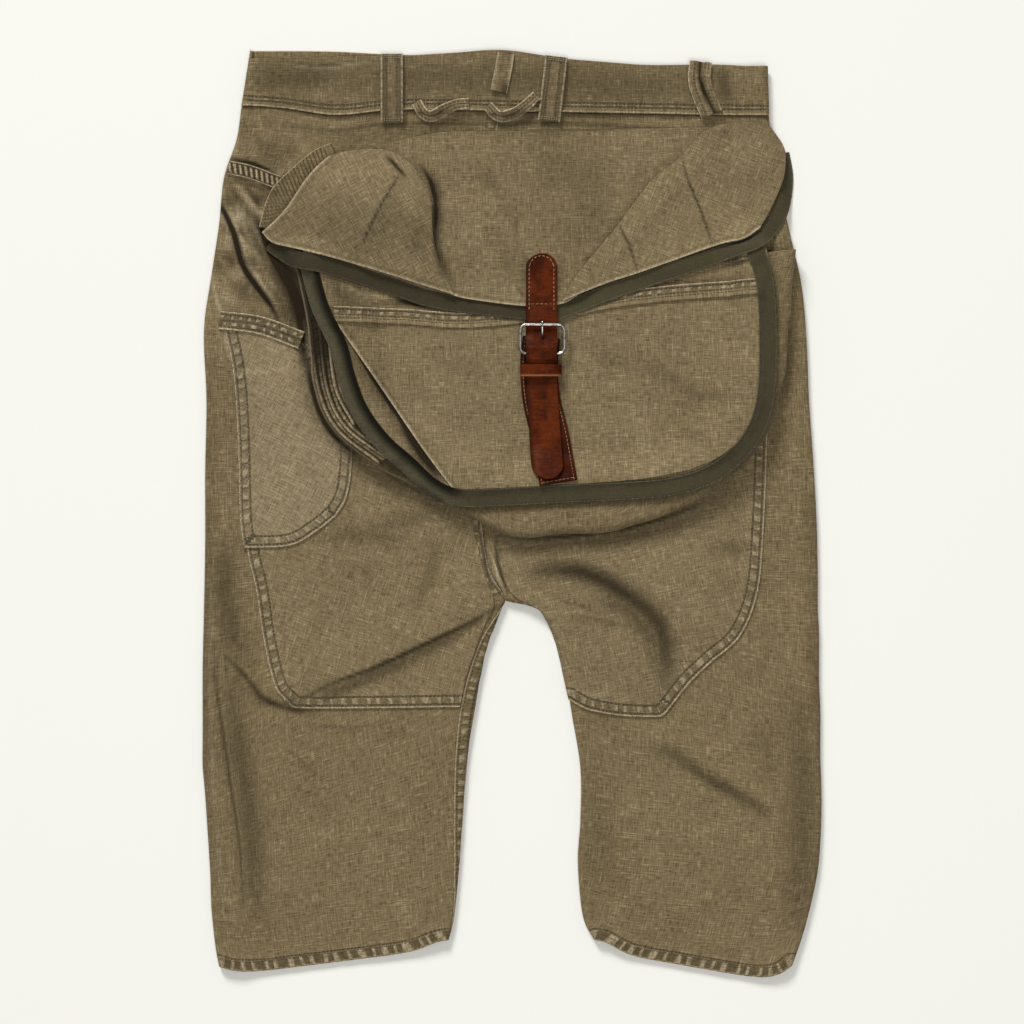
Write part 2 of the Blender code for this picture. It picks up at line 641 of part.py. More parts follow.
def build_waist(shop):
    back = band_grid(1, True)
    shop.carry(shop.add("waistband_back", grid_mesh("waistband_back", back), "canvas", BAND))
    front = band_grid(2, False)
    middle = min(range(len(front[0])), key=lambda k: abs(front[0][k][0] - WAIST_CENTER[0]))
    halves = (("left", slice(0, middle + 1), -SEAM), ("right", slice(middle, None), SEAM))
    for side, columns, shift in halves:
        name = f"waistband_front_{side}"
        part = [list(line[columns]) for line in front]
        for line in part:
            end = -1 if shift < 0 else 0
            x, y, z = line[end]
            line[end] = (x + shift, y, z)
        shop.carry(shop.add(name, grid_mesh(name, part), "canvas", BAND))


def prism(shop, name, outline, low, high):
    # A cutter standing on a pattern outline
    builder = bmesh.new()
    face = builder.faces.new([builder.verts.new((x * MM, y * MM, low * MM)) for x, y in outline])
    extruded = bmesh.ops.extrude_face_region(builder, geom=[face])
    moved = [item for item in extruded["geom"] if isinstance(item, bmesh.types.BMVert)]
    bmesh.ops.translate(builder, verts=moved, vec=(0, 0, (high - low) * MM))
    bmesh.ops.recalc_face_normals(builder, faces=builder.faces)
    mesh = bpy.data.meshes.new(name)
    builder.to_mesh(mesh)
    builder.free()
    cutter = bpy.data.objects.new(name, mesh)
    shop.cutters.objects.link(cutter)
    cutter.hide_render = True
    cutter.display_type = "WIRE"
    return cutter


def overlay(shop, name, panel, outline, lift, wall, material, low):
    # A piece cut to an outline from the panel's own points, moved out from it
    mesh = panel.copy()
    out = [vertex.co + vertex.normal * lift * MM for vertex in panel.vertices]
    for vertex, place in zip(mesh.vertices, out):
        vertex.co = place
    piece = shop.add(name, mesh, material, wall)
    cut = piece.modifiers.new("outline", "BOOLEAN")
    cut.operation = "INTERSECT"
    cut.solver = "EXACT"
    cut.object = prism(shop, f"{name}_outline", outline, low, 60)
    return shop.carry(piece)


def build_patches(shop, backs):
    lift = PANEL / 2 + GAP + OVERLAY / 2
    overlay(shop, "seat_patch_left", backs["left"], LEFT_PATCH, lift, OVERLAY, "canvas_light", 3.2)
    overlay(shop, "seat_patch_right", backs["right"], RIGHT_PATCH, lift, OVERLAY, "canvas_light", 3.2)
    lift += OVERLAY + GAP
    overlay(shop, "hip_pocket", backs["left"], HIP_POCKET, lift, OVERLAY, "canvas_light", 3.2)


def lay(shop, name, flat, wall, material, puff=None, rounds=3):
    grid = shop.rest(flat, wall, puff, rounds)
    return shop.carry(shop.add(name, grid_mesh(name, grid), material, wall))


def build_trims(shop):
    lay(shop, "hip_pocket_hem", strip_grid(HIP_HEM, 6.0, 5), OVERLAY, "canvas_light")
    lay(shop, "side_yoke", strip_grid(SIDE_YOKE, 4.0, 4), OVERLAY, "canvas_light")
    for name, (top_x, low_x, top_y, low_y) in LOOPS.items():
        middle = (top_y + low_y) / 2

        def bow(x, y):
            return LOOP_CROWN - LOOP_BOW * ((y - middle) / (top_y - middle)) ** 2

        line = ((top_x, top_y), ((top_x + low_x) / 2, middle), (low_x, low_y))
        lay(shop, name, strip_grid(line, LOOP_WIDTH / 2, 6), LOOP_WALL, "canvas_light", bow, 1)
    twisted = strip_grid(LOOP_TWISTED, LOOP_WIDTH / 2, 8)
    lay(shop, "belt_loop_right", twisted, LOOP_WALL, "canvas_light", None, 1)
    lay(shop, "hanger_strip", strip_grid(HANGER, 6.5, 5), LOOP_WALL, "canvas_light", None, 1)
    for name, line in TABS.items():
        lay(shop, name, strip_grid(line, 4.0, 9), LOOP_WALL, "canvas_light", None, 1)


def gusset_section(shop, row):
    fold, edge, height = np.array(row[0:2]), np.array(row[2:4]), row[4]
    width = math.dist(fold, edge)
    way = (fold - edge) / width
    radius = height / 2
    tangent = width - radius - OVERLAY / 2
    lift = GAP + OVERLAY * CLEAR
    inside = GUSSET_INSIDE
    lower = []
    for s in (inside, (inside + tangent) / 2, tangent):
        x, y = edge + way * s
        lower.append((s, shop.support(x, y, GUSSET_FEEL) + lift))
    level = max(z for s, z in lower)
    lower = [(s, z + (level - z) * 0.5) for s, z in lower]
    section = list(lower)
    for angle in (-45, 0, 45):
        turn = math.radians(angle)
        section.append((tangent + radius * math.cos(turn), lower[-1][1] + radius * (1 + math.sin(turn))))
    top = lower[-1][1] + height
    section.append((tangent, top))
    section.append(((inside + tangent) / 2, top + 0.4))
    section.append((inside, max(top - 1.0, lower[0][1] + OVERLAY + GAP + GUSSET_LEAST)))
    return [(*(edge + way * s), z) for s, z in section]


def build_bag(shop):
    rows = smooth_rows(GUSSET_ROWS, GUSSET_STEP)
    grid = [gusset_section(shop, row) for row in rows]
    shop.carry(shop.add("bag_gusset", grid_mesh("bag_gusset", grid), "canvas", OVERLAY))
    for number, (first, last) in enumerate(PLEAT_STEPS):
        base = smooth_rows([row[:4] for row in GUSSET_ROWS[first : last + 1]], GUSSET_STEP)
        flat = []
        for row in base:
            fold, edge = row[0:2], row[2:4]
            way = (fold - edge) / math.dist(fold, edge)
            start = fold - way * (3.0 + PLEAT_INSET * number)
            flat.append([tuple(start - way * PLEAT_WIDTH * k) for k in PLEAT_LINES])
        lay(shop, f"gusset_pleat_{number + 1}", flat, PLEAT_WALL, "canvas", None, 1)
    lay(shop, "bag_front", patch_grid(BAG_FRONT, 12, 16), OVERLAY, "canvas_light", None, 5)
    lay(shop, "bag_pocket", patch_grid(BAG_POCKET, 9, 14), OVERLAY, "canvas_light", None, 1)
    lay(shop, "bag_front_hem", strip_grid(FRONT_HEM, 4.5, 7), OVERLAY, "canvas_light", None, 1)
    lay(shop, "bag_pocket_hem", strip_grid(POCKET_HEM, 4.8, 14), OVERLAY, "canvas_light", None, 1)
    lay(shop, "bag_binding", strip_grid(BAG_BINDING, 7.0, 36), TAPE, "binding", None, 1)


def wing_puff(x, y):
    mid_x, half_x, mid_y, half_y, level, crown = WING_PUFF
    return level + crown * math.exp(-(((x - mid_x) / half_x) ** 2) - ((y - mid_y) / half_y) ** 2)


def build_flap(shop):
    lay(shop, "flap_binding_left", strip_grid(FLAP_TAPE_LEFT, 6.5, 12), TAPE, "binding", None, 2)
    lay(shop, "flap_binding_right", strip_grid(FLAP_TAPE_RIGHT, 6.5, 14), TAPE, "binding", None, 2)
    lay(shop, "flap_middle", patch_grid(FLAP_MIDDLE, 9, 14), OVERLAY, "canvas_light", None, 6)
    lay(shop, "flap_wing_left", patch_grid(WING_LEFT, 8, 9), OVERLAY, "canvas_light", wing_puff, 4)
    lay(shop, "flap_edge_strip", strip_grid(EDGE_STRIP, 7.5, 8), OVERLAY, "canvas", None, 0)
    lay(shop, "flap_wing_right", patch_grid(WING_RIGHT, 8, 10), OVERLAY, "canvas_light", None, 4)


def build_strap(shop):
    under = strip_grid(UNDER_LINE, UNDER_HALF, 8)
    lay(shop, "strap_under", under, LEATHER, "leather_dark", None, 2)
    # The low bar lies under the strap, and the high bar over it
    below = shop.support(BUCKLE_X, BUCKLE_LOW, BUCKLE_FEEL) + GAP + WIRE / 2
    above = shop.support(BUCKLE_X, BUCKLE_TOP, BUCKLE_FEEL) + 2 * GAP + LEATHER * 1.1 + WIRE / 2
    level = max(below, above)

    def over_bar(x, y):
        rise = level + WIRE / 2 + GAP + LEATHER * CLEAR
        return rise if abs(y - BUCKLE_LOW) < BAR_SLACK else 0

    upper = strip_grid(STRAP_LINE, STRAP_HALF, 20)
    grid = shop.rest(upper, LEATHER, over_bar, 0)
    strap = shop.add("strap_upper", grid_mesh("strap_upper", grid), "leather", LEATHER)
    build_buckle(shop, grid, level)
    shop.carry(strap)
    build_keeper(shop)


def build_buckle(shop, grid, level):
    corners = []
    low, high = BUCKLE_LOW, BUCKLE_TOP
    radius = BUCKLE_CORNER
    for x, y, start in ((BUCKLE_X + BUCKLE_HALF, high, 0), (BUCKLE_X - BUCKLE_HALF, high, 90),
                        (BUCKLE_X - BUCKLE_HALF, low, 180), (BUCKLE_X + BUCKLE_HALF, low, 270)):
        mid_x = x - math.copysign(radius, x - BUCKLE_X)
        mid_y = y - math.copysign(radius, y - (low + high) / 2)
        for k in range(4):
            turn = math.radians(start + 30 * k)
            corners.append((mid_x + radius * math.cos(turn), mid_y + radius * math.sin(turn), level))
    wire(shop, "buckle_frame", corners, WIRE, True)
    # The prong lies on the strap's skin and ends over the high bar
    near = [p[2] for line in grid for p in line if abs(p[1] - PRONG_Y[0]) < PRONG_FEEL]
    skin = max(near) + LEATHER * CLEAR + GAP + PRONG / 2
    tip = level + WIRE / 2 + GAP + PRONG / 2
    levels = (skin, max(skin, tip - 0.6), tip, tip - 0.2)
    wire(shop, "buckle_prong", [(BUCKLE_X, y, z) for y, z in zip(PRONG_Y, levels)], PRONG, False)


def build_keeper(shop):
    # A leather loop over both straps, with its ends bent down beside them
    left = [(KEEPER_X - KEEPER_HALF + inset, drop) for inset, drop in KEEPER_DROPS]
    line = left + [(2 * KEEPER_X - x, drop) for x, drop in reversed(left)]
    crown = max(shop.support(x, KEEPER_Y, 6.0) for x, drop in line[2:-2]) + GAP + KEEPER * CLEAR
    grid = []
    for y in (KEEPER_Y - KEEPER_WIDTH / 2, KEEPER_Y, KEEPER_Y + KEEPER_WIDTH / 2):
        grid.append([(x, y, crown - drop) for x, drop in line])
    shop.carry(shop.add("strap_keeper", grid_mesh("strap_keeper", grid), "leather", KEEPER))


def wire(shop, name, points, width, closed):
    curve = bpy.data.curves.new(name, "CURVE")
    curve.dimensions = "3D"
    curve.bevel_depth = width / 2 * MM
    curve.bevel_resolution = 2
    curve.use_fill_caps = True
    spline = curve.splines.new("POLY")
    spline.points.add(len(points) - 1)
    for point, place in zip(spline.points, points):
        point.co = (*(Vector(place) * MM), 1)
    spline.use_cyclic_u = closed
    piece = bpy.data.objects.new(name, curve)
    curve.materials.append(shop.materials["nickel"])
    shop.parts.objects.link(piece)
    return piece


def center_object():
    # Origin at the bottom centre of the object's own box
    bpy.context.view_layer.update()
    graph = bpy.context.evaluated_depsgraph_get()
    parts = bpy.data.collections["canvas_shorts"].objects
    corners = []
    for piece in parts:
        mesh = piece.evaluated_get(graph).to_mesh()
        flat = np.empty(len(mesh.vertices) * 3, dtype=np.float32)
        mesh.vertices.foreach_get("co", flat)
        points = flat.reshape(-1, 3)
        corners.extend([points.min(axis=0), points.max(axis=0)])
    low, high = np.min(corners, axis=0), np.max(corners, axis=0)
    shift = Vector((-(low[0] + high[0]) / 2, -(low[1] + high[1]) / 2, -low[2]))
    for piece in list(parts) + list(bpy.data.collections["cutters"].objects):
        piece.location = shift


def main():
    clear_scene()
    shop = Workshop()
    backs = build_body(shop)
    build_waist(shop)
    build_patches(shop, backs)
    build_trims(shop)
    build_bag(shop)
    build_flap(shop)
    build_strap(shop)
    center_object()


main()
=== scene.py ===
# Looks of the canvas shorts with a buckled seat bag, laid flat with the back upward.
# Tables and sizes are in millimetres in the part's design frame: +X right, +Y to the waist, +Z up.
# A line is a flat row of x and y. A stroke is a line, its half width and its strength, and a fold
# is a line, its half widths left and right of the run and its height, below zero in a trough.
import math
import re

import bpy
import numpy as np
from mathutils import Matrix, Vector


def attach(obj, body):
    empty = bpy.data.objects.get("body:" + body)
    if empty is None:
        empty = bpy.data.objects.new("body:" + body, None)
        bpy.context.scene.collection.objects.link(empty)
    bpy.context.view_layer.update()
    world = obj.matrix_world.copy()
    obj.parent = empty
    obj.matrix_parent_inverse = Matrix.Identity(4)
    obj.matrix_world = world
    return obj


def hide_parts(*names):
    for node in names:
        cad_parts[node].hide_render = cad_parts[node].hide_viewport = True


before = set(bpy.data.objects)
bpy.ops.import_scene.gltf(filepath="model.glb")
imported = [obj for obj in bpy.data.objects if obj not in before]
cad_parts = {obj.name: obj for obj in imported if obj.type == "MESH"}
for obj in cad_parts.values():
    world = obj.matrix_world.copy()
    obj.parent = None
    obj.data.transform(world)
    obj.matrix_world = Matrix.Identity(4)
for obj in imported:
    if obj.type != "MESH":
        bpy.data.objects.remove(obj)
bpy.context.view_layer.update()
mm = 0.001
# The part is centred on its own box, which moves the design frame by this much
centreShift = np.array((-0.452, 0.443, 0.0))

# Leg rows from the waist seam to the hem: outer fold x and y, inner edge x and y, inseam wrap
leftRows = (
    (-216, 325, -10, 321, 0), (-220, 298, -12, 290, 0), (-230, 268, -14, 250, 0),
    (-234, 230, -16, 210, 0), (-240, 190, -19, 170, 0), (-246, 146, -21, 130, 0), (-244, 90, -24, 82, 0),
    (-245, 34, -26, 34, 0), (-245, -22, -24, -6, 0), (-246, -78, -18, -44, 0), (-247, -124, -8, -62, 0),
    (-247, -160, -5, -70, 0), (-247, -171, -8, -77, 2), (-247, -182, -12, -88, 4),
    (-247, -202, -20, -110, 8), (-245, -226, -28, -150, 12), (-243, -256, -35, -196, 10),
    (-241, -288, -39, -246, 7), (-240, -316, -42, -286, 4), (-237, -345, -46, -324, 2),
    (-234, -362, -50, -341, 1),
)
rightRows = (
    (206, 317, -10, 321, 0), (208, 294, -12, 290, 0), (215, 258, -14, 250, 0), (224, 218, -16, 210, 0),
    (232, 182, -19, 170, 0), (236, 138, -21, 130, 0), (238, 90, -24, 82, 0), (241, 46, -26, 34, 0),
    (244, -6, -24, -6, 0), (245, -50, -18, -44, 0), (245, -76, -8, -62, 0), (246, -96, -5, -70, 0),
    (246, -114, 16, -75, -2), (246, -134, 29, -84, -6), (247, -160, 40, -108, -6),
    (247, -194, 48, -160, -6), (248, -230, 55, -204, -6), (247, -264, 55, -246, -6),
    (244, -292, 53, -280, -6), (235, -330, 57, -322, -6), (225, -360, 66, -341, -6),
)

# Folds of the upper side
bodyFolds = (
    ((-12, -72, -89, -110, -168, -149), 5, 34, 7.0), ((-164, -150, -204, -143, -230, -106), 5, 18, 3.6),
    ((-236, -60, -238, -180, -214, -330), 9, 9, 2.2), ((-184, -186, -168, -206, -152, -226), 7, 12, 1.8),
    ((4, -41, 84, -44, 130, -120), 30, 9, 6.0), ((30, -84, 64, -88, 98, -99), 9, 9, 2.6),
    ((86, -92, 107, -118, 121, -150), 6, 24, 3.0), ((108, -177, 156, -205, 218, -239), 20, 7, 4.0),
    ((-226, 236, -204, 190, -176, 150), 14, 6, 6.0), ((-236, 168, -226, 104, -216, 40), 8, 14, 2.4),
    ((226, 190, 236, 70, 232, -90), 16, 9, 2.0),
)
fineFolds = (
    ((-236, -100, -235, -140, -228, -190, -220, -260, -213, -330), 4, 4, -1.2),
    ((-226, -90, -224, -150, -214, -220, -204, -300), 7, 7, 1.2),
    ((-181, -190, -166, -208, -150, -226), 4, 5, -0.9), ((-160, -24, -121, -19, -76, -24), 7, 7, -0.8),
    ((-150, -40, -110, -36, -80, -44), 8, 12, 1.6), ((-56, -10, -68, -56, -78, -88), 6, 6, -0.8),
    ((-50, -40, -46, -66, -56, -88), 8, 8, 1.2), ((-88, -40, -98, -70, -116, -96), 9, 9, 1.0),
    ((-140, -60, -160, -90, -176, -120), 9, 9, 1.0), ((-150, -168, -110, -172, -70, -166), 5, 8, 0.8),
    ((41, -85, 64, -89, 84, -94, 96, -95), 3, 4, -1.1), ((14, -60, 50, -64, 84, -76), 7, 7, 1.0),
    ((60, -120, 78, -136, 88, -152), 7, 7, -0.7), ((134, -110, 140, -132, 137, -150), 4, 5, 1.1),
    ((146, -14, 170, -28, 196, -30), 7, 7, -0.8), ((150, -44, 186, -50, 222, -46), 9, 9, 1.1),
    ((196, -160, 206, -196, 214, -224), 8, 8, -0.8), ((176, -170, 186, -192, 200, -214), 7, 7, 1.1),
    ((110, -240, 150, -270, 160, -320), 12, 12, 0.8), ((-120, -230, -110, -280, -130, -330), 12, 12, 0.8),
    ((-238, 226, -230, 196, -212, 166, -200, 152), 5, 9, 3.4),
    ((-222, 300, -214, 284, -196, 282), 6, 6, 1.2),
)

# Dark strokes where cloth turns out of the light, and pale ones: painted highlight where ridges face the
# light, and wear on seam ridges
shadeStrokes = (
    ((4, -66, -6, -72, -20, -80, -41, -91, -105, -121, -150, -139, -184, -160), 1.7, 0.95),
    ((-14, -80, -44, -96, -106, -127, -148, -144, -168, -154), 6, 0.1),
    ((-184, -186, -166, -200, -150, -214), 1.6, 0.35), ((-166, -170, -124, -171, -90, -165), 1.8, 0.3),
    ((-243, 140, -244, 0, -245, -110, -243, -210, -234, -350), 9, 0.3),
    ((-236, -106, -212, -131, -199, -147, -177, -157, -150, -160), 2.6, 0.75),
    ((-236, -90, -236, -140, -232, -165, -226, -210, -218, -260, -213, -330), 1.8, 0.7),
    ((-227, -118, -222, -165, -214, -215, -206, -275, -204, -340), 10, 0.5),
    ((-158, -22, -121, -19, -78, -22), 7, 0.36), ((-57, -18, -68, -56, -77, -86), 6, 0.3),
    ((7, -56, 16, -47, 44, -44, 74, -55, 101, -71, 119, -90, 123, -114, 126, -150), 8.5, 0.85),
    ((64, -62, 92, -76, 112, -96, 119, -130), 12, 0.5),
    ((40, -85, 60, -84, 84, -88, 103, -96, 110, -118, 118, -140), 2.4, 0.35),
    ((28, -72, 48, -72, 64, -78, 76, -84), 2.4, 0.3),
    ((100, -181, 130, -191, 153, -209, 176, -222, 214, -244), 5.5, 0.45),
    ((196, -166, 206, -198, 214, -226), 9, 0.24), ((152, -26, 172, -29, 192, -31), 6, 0.3),
    ((-238, 262, -233, 248, -221, 222, -215, 199, -204, 182, -190, 163, -184, 146), 2.5, 1.5),
    ((-208, 244, -199, 224, -190, 204, -180, 186, -168, 164, -163, 140), 4.5, 1.5),
    ((-198, 222, -186, 200, -174, 176, -166, 150, -162, 130), 11, 1.1),
    ((-190, 214, -177, 190, -169, 150, -163, 100), 4.6, 1.15),
    ((-165, 146, -159.5, 100, -144.5, 64.5, -110, 36), 3.2, 1.15),
    ((-112, 38, -84, 22.5, -60, 10), 2.4, 0.7),
    ((-168, 140, -160, 86, -114, 32, -64, 7, -30, -2), 7, 0.45),
    ((-228, -10, -229, -60, -224, -96, -208, -126), 11, 0.5),
    ((-229, 283, -208, 279.5, -186, 271), 1.8, 1.2), ((-226, 266, -207, 262, -190, 256), 1.4, 0.7),
    ((-220, 257, -210, 234, -202, 212, -189, 182), 4.5, 0.55),
    ((-197, 294, -191, 281, -187, 271), 6, 0.4), ((-192, 186, -180, 162, -173, 150), 7, 0.5),
    ((-214, 318, -212, 300, -206, 288), 4, 0.25), ((-22, -8, -21, -40, -13, -68), 1.5, 0.7),
    ((-13, -10, -11, -38, -2, -68), 1.5, 0.9),
    ((-24, -8, -14, -15, -2, -20, 41, -19, 99, -10, 148, 6, 176, 24), 2.4, 0.95),
    ((-20, -16, 0, -26, 41, -26, 99, -18, 148, -2, 180, 20), 9, 0.4),
    ((-212, 311, -172, 309, -140, 305, -100, 311, -13, 311, 40, 312, 150, 305, 200, 302), 2.2, 0.6),
    ((224, 150, 222, 128, 214, 86), 6, 0.34), ((-150, -30, -60, 2, -10, -14), 8, 0.3),
    ((-10, -22, 40, -26, 100, -18, 160, 10, 196, 50), 6, 0.34),
    ((-172, 306, -120, 300, 0, 316, 120, 318), 7, 0.3), ((-206, 300, -190, 290, -170, 286), 7, 0.35),
    ((-240, 60, -243, -20, -243, -90), 7, 0.25), ((238, 40, 241, -60, 243, -180, 240, -300), 7, 0.25),
    ((226, -130, 231, -180, 232, -240, 230, -300, 220, -350), 14, 0.42),
    ((60, -190, 68, -250, 74, -310), 16, 0.16),
)
wearAndHighlightStrokes = (
    ((-230, 252, -217, 224, -210, 200, -199, 183, -185, 163), 1.3, 0.5),
    ((-240, -40, -241, -130, -238, -220, -230, -320), 2.0, 0.16),
    ((-8, 40, -8, -6, -5, -34, 2, -66), 1.2, 0.6), ((-231, 249, -219, 226, -210, 206), 1.8, 0.5),
    ((-241, 196, -235, 170, -231, 156, -228, 138, -222, 116, -218, 90), 1.6, 0.5),
    ((-15.5, -10, -13.5, -38, -5.5, -66), 1.5, 0.7), ((-28, -78, -89, -106, -150, -138), 3, 0.12),
)

print("stage: tables read")


# Noise, profiles and curves
def softNoise(x, y, size, seed):
    table = np.random.default_rng(seed).random((64, 64)) * 2 - 1
    gx, gy = x / size + 31.7, y / size + 17.3
    ix, iy = np.floor(gx).astype(int), np.floor(gy).astype(int)
    fx, fy = gx - ix, gy - iy
    fx, fy = fx * fx * (3 - 2 * fx), fy * fy * (3 - 2 * fy)
    low = table[ix % 64, iy % 64] * (1 - fx) + table[(ix + 1) % 64, iy % 64] * fx
    high = table[ix % 64, (iy + 1) % 64] * (1 - fx) + table[(ix + 1) % 64, (iy + 1) % 64] * fx
    return low * (1 - fy) + high * fy


def bell(value, middle, width):
    return np.exp(-(((value - middle) / width) ** 2))


def ramp(value, start, reach):
    # From 0 at the start to 1 a reach further on
    return np.clip((value - start) / reach, 0, 1)


def mound(grid, midX, halfX, midY, halfY):
    # From 1 in the middle down to 0 on all sides
    return np.exp(-(((grid[..., 0] - midX) / halfX) ** 2) - ((grid[..., 1] - midY) / halfY) ** 2)


def down(flat):
    return np.linspace(0, 1, flat.shape[0])[:, None]


def across(flat, low=-1):
    return np.linspace(low, 1, flat.shape[1])[None, :]


def unit(vectors):
    return vectors / np.linalg.norm(vectors, axis=1)[:, None]


def square(way):
    # Unit vectors square to the left of a run
    way = unit(way)
    return np.stack([-way[:, 1], way[:, 0]], axis=1)


def smoothRows(rows, step):
    rows = np.array(rows, float)
    ends = np.vstack([2 * rows[0] - rows[1], rows, 2 * rows[-1] - rows[-2]])
    tracks = [(0, 1)] if rows.shape[1] < 4 else [(0, 1), (2, 3)]
    out = []
    for index in range(1, len(ends) - 2):
        before, start, stop, after = ends[index - 1 : index + 3]
        run = max(math.dist(start[[a, b]], stop[[a, b]]) for a, b in tracks)
        count = max(1, round(run / step))
        t = (np.arange(count) / count)[:, None]
        out.append(
            0.5 * (2 * start + (stop - before) * t
            + (2 * before - 5 * start + 4 * stop - after) * t * t
            + (3 * start - before - 3 * stop + after) * t ** 3)
        )
    return np.vstack(out + [rows[-1:]])


def fineLine(points):
    line = np.reshape(points, (-1, 2)).astype(float)
    return smoothRows(line, 1.0) if len(line) > 2 else line


def runOf(line):
    return np.concatenate([[0], np.cumsum(np.linalg.norm(np.diff(line, axis=0), axis=1))])


def placesOn(line, run, marks):
    return np.stack([np.interp(marks, run, line[:, k]) for k in range(line.shape[1])], axis=1)


def curveAt(points, parts):
    # Points of a smooth curve at parts of its length
    fine = fineLine(points)
    run = runOf(fine)
    return placesOn(fine, run, parts * run[-1])


def curveLength(points):
    return float(np.linalg.norm(np.diff(fineLine(points), axis=0), axis=1).sum())


def lineFields(points, line):
    # Distance of places from a line, and the run along it to the nearest place
    gap, run, start = np.full(points.shape[:-1], 1e9), np.zeros(points.shape[:-1]), 0.0
    for a, b in zip(line[:-1], line[1:]):
        d = b - a
        length = max(np.linalg.norm(d), 1e-6)
        t = np.clip(((points - a) @ d) / length ** 2, 0, 1)
        far = np.linalg.norm(points - a - t[..., None] * d, axis=-1)
        near = far < gap
        gap = np.where(near, far, gap)
        run = np.where(near, start + t * length, run)
        start += length
    return gap, run


def crest(x, y, line, left, right, height):
    best = np.full(np.shape(x), 1e9)
    along, side = np.zeros(np.shape(x)), np.zeros(np.shape(x))
    for k, (a, b) in enumerate(zip(line[:-1], line[1:])):
        d = b - a
        t = np.clip(((x - a[0]) * d[0] + (y - a[1]) * d[1]) / (d @ d), 0, 1)
        px, py = x - a[0] - t * d[0], y - a[1] - t * d[1]
        gap = np.hypot(px, py)
        near = gap < best
        best = np.where(near, gap, best)
        along = np.where(near, (k + t) / (len(line) - 1), along)
        side = np.where(near, d[0] * py - d[1] * px, side)
    taper = 1 - np.abs(2 * along - 1) ** 3
    return height * taper * bell(best, 0, np.where(side > 0, left, right))


def foldSum(grid, table):
    total = np.zeros(grid.shape[:2])
    for points, left, right, height in table:
        line = curveAt(points, np.linspace(0, 1, 11))
        total = total + crest(grid[..., 0], grid[..., 1], line, left, right, height)
    return total


def strokeSum(grid, table):
    # The strongest of the strokes over each place
    total = np.zeros(grid.shape[:2])
    for points, width, strength in table:
        line = curveAt(points, np.linspace(0, 1, 13))
        total = np.maximum(total, crest(grid[..., 0], grid[..., 1], line, width, width, strength))
    return total


def puckers(edge, along, period=9.6, row=9.0):
    # Rounded swells between two rows of stitches, from 0 to 1
    drift = along + 2.2 * softNoise(along, edge * 0.2, 13, 7)
    wave = 0.5 + 0.5 * np.sin(2 * math.pi * drift / period + edge * 0.12)
    return wave * bell(edge, row * 0.6, row * 0.5)


def endSteps(length, step, ends=(0.0, 0.6, 1.4, 2.6, 4.2)):
    # Places along a length from 0 to 1, closer together near both ends
    if length < 3 * ends[-1]:
        return np.linspace(0, 1, max(3, round(length / 1.2) + 1))
    middle = np.linspace(ends[-1], length - ends[-1], max(2, round((length - 2 * ends[-1]) / step) + 1))
    return np.concatenate([ends[:-1], middle, length - np.array(ends[:-1])[::-1]]) / length


def coonsGrid(edges, step):
    # A grid of places filling four edge curves
    wide = max(curveLength(edges["top"]), curveLength(edges["bottom"]))
    tall = max(curveLength(edges["left"]), curveLength(edges["right"]))
    u, v = endSteps(wide, step), endSteps(tall, step)
    top, bottom = curveAt(edges["top"], u), curveAt(edges["bottom"], u)
    left, right = curveAt(edges["left"], v), curveAt(edges["right"], v)
    uu, vv = u[None, :, None], v[:, None, None]
    corner = (1 - vv) * ((1 - uu) * top[0] + uu * top[-1]) + vv * ((1 - uu) * bottom[0] + uu * bottom[-1])
    return (1 - vv) * top[None] + vv * bottom[None] + (1 - uu) * left[:, None] + uu * right[:, None] - corner


def stripGrid(points, half, step, gap=1.2):
    # A strip along a line, its width square to the run
    path = curveAt(points, endSteps(curveLength(points), step))
    offsets = (endSteps(2 * half, gap * 2, (0.0, 0.5, 1.2)) * 2 - 1) * half
    return path[:, None] + square(np.gradient(path, axis=0))[:, None] * offsets[None, :, None]


def turned(strip):
    # A strip with its run along the rows, its left side lowest
    return np.swapaxes(strip, 0, 1)[::-1]


def runLengths(grid, axis):
    gaps = np.linalg.norm(np.diff(grid, axis=axis), axis=2)
    zero = np.zeros_like(gaps[:1] if axis == 0 else gaps[:, :1])
    return np.cumsum(np.concatenate([zero, gaps], axis=axis), axis=axis)


def sideLine(grid, side, depth=0):
    # A line of a grid's points at one side, or a few points further in
    row = depth if side in ("top", "left") else -1 - depth
    return grid[row] if side in ("top", "bottom") else grid[:, row]


def edgeFields(grid, sides):
    # Distance to the nearest of the named edges, and the distance along that edge
    edge, along = np.full(grid.shape[:2], 99.0), runLengths(grid, 1)
    for number, side in enumerate(sides):
        gap, run = lineFields(grid, sideLine(grid, side))
        along = np.where(gap < edge, run + 300 * number, along)
        edge = np.minimum(edge, gap)
    return edge, along


def onHeap(line, wall):
    # A line's places with the height of the middle of the uppermost cloth, whose wall is given
    height = heap.sample(heap.field, *heap.place(line[:, 0], line[:, 1])) - wall / 2
    return np.column_stack([line, height])


def seamRows(grid, side, distance, sides, wall):
    # Lines at a distance inside one edge of a laid piece, kept clear of its other sewn edges
    line, inner = sideLine(grid, side)[:, :2], sideLine(grid, side, 2)[:, :2]
    run = runOf(line)
    marks = np.linspace(0, run[-1], max(3, int(run[-1] / 1.5)))
    place, inner = placesOn(line, run, marks), placesOn(inner, run, marks)
    aside = square(np.gradient(place, axis=0))
    place = place + aside * distance * np.sign(((inner - place) * aside).sum())
    clear = np.ones(len(place), bool)
    for other in sides:
        clear &= lineFields(place, sideLine(grid, other)[:, :2])[0] > distance - 0.3
    points = onHeap(place, wall)
    breaks = np.flatnonzero(np.diff(np.concatenate([[0], clear.astype(int), [0]])))
    return [points[a:b] for a, b in zip(breaks[::2], breaks[1::2]) if b - a > 2]


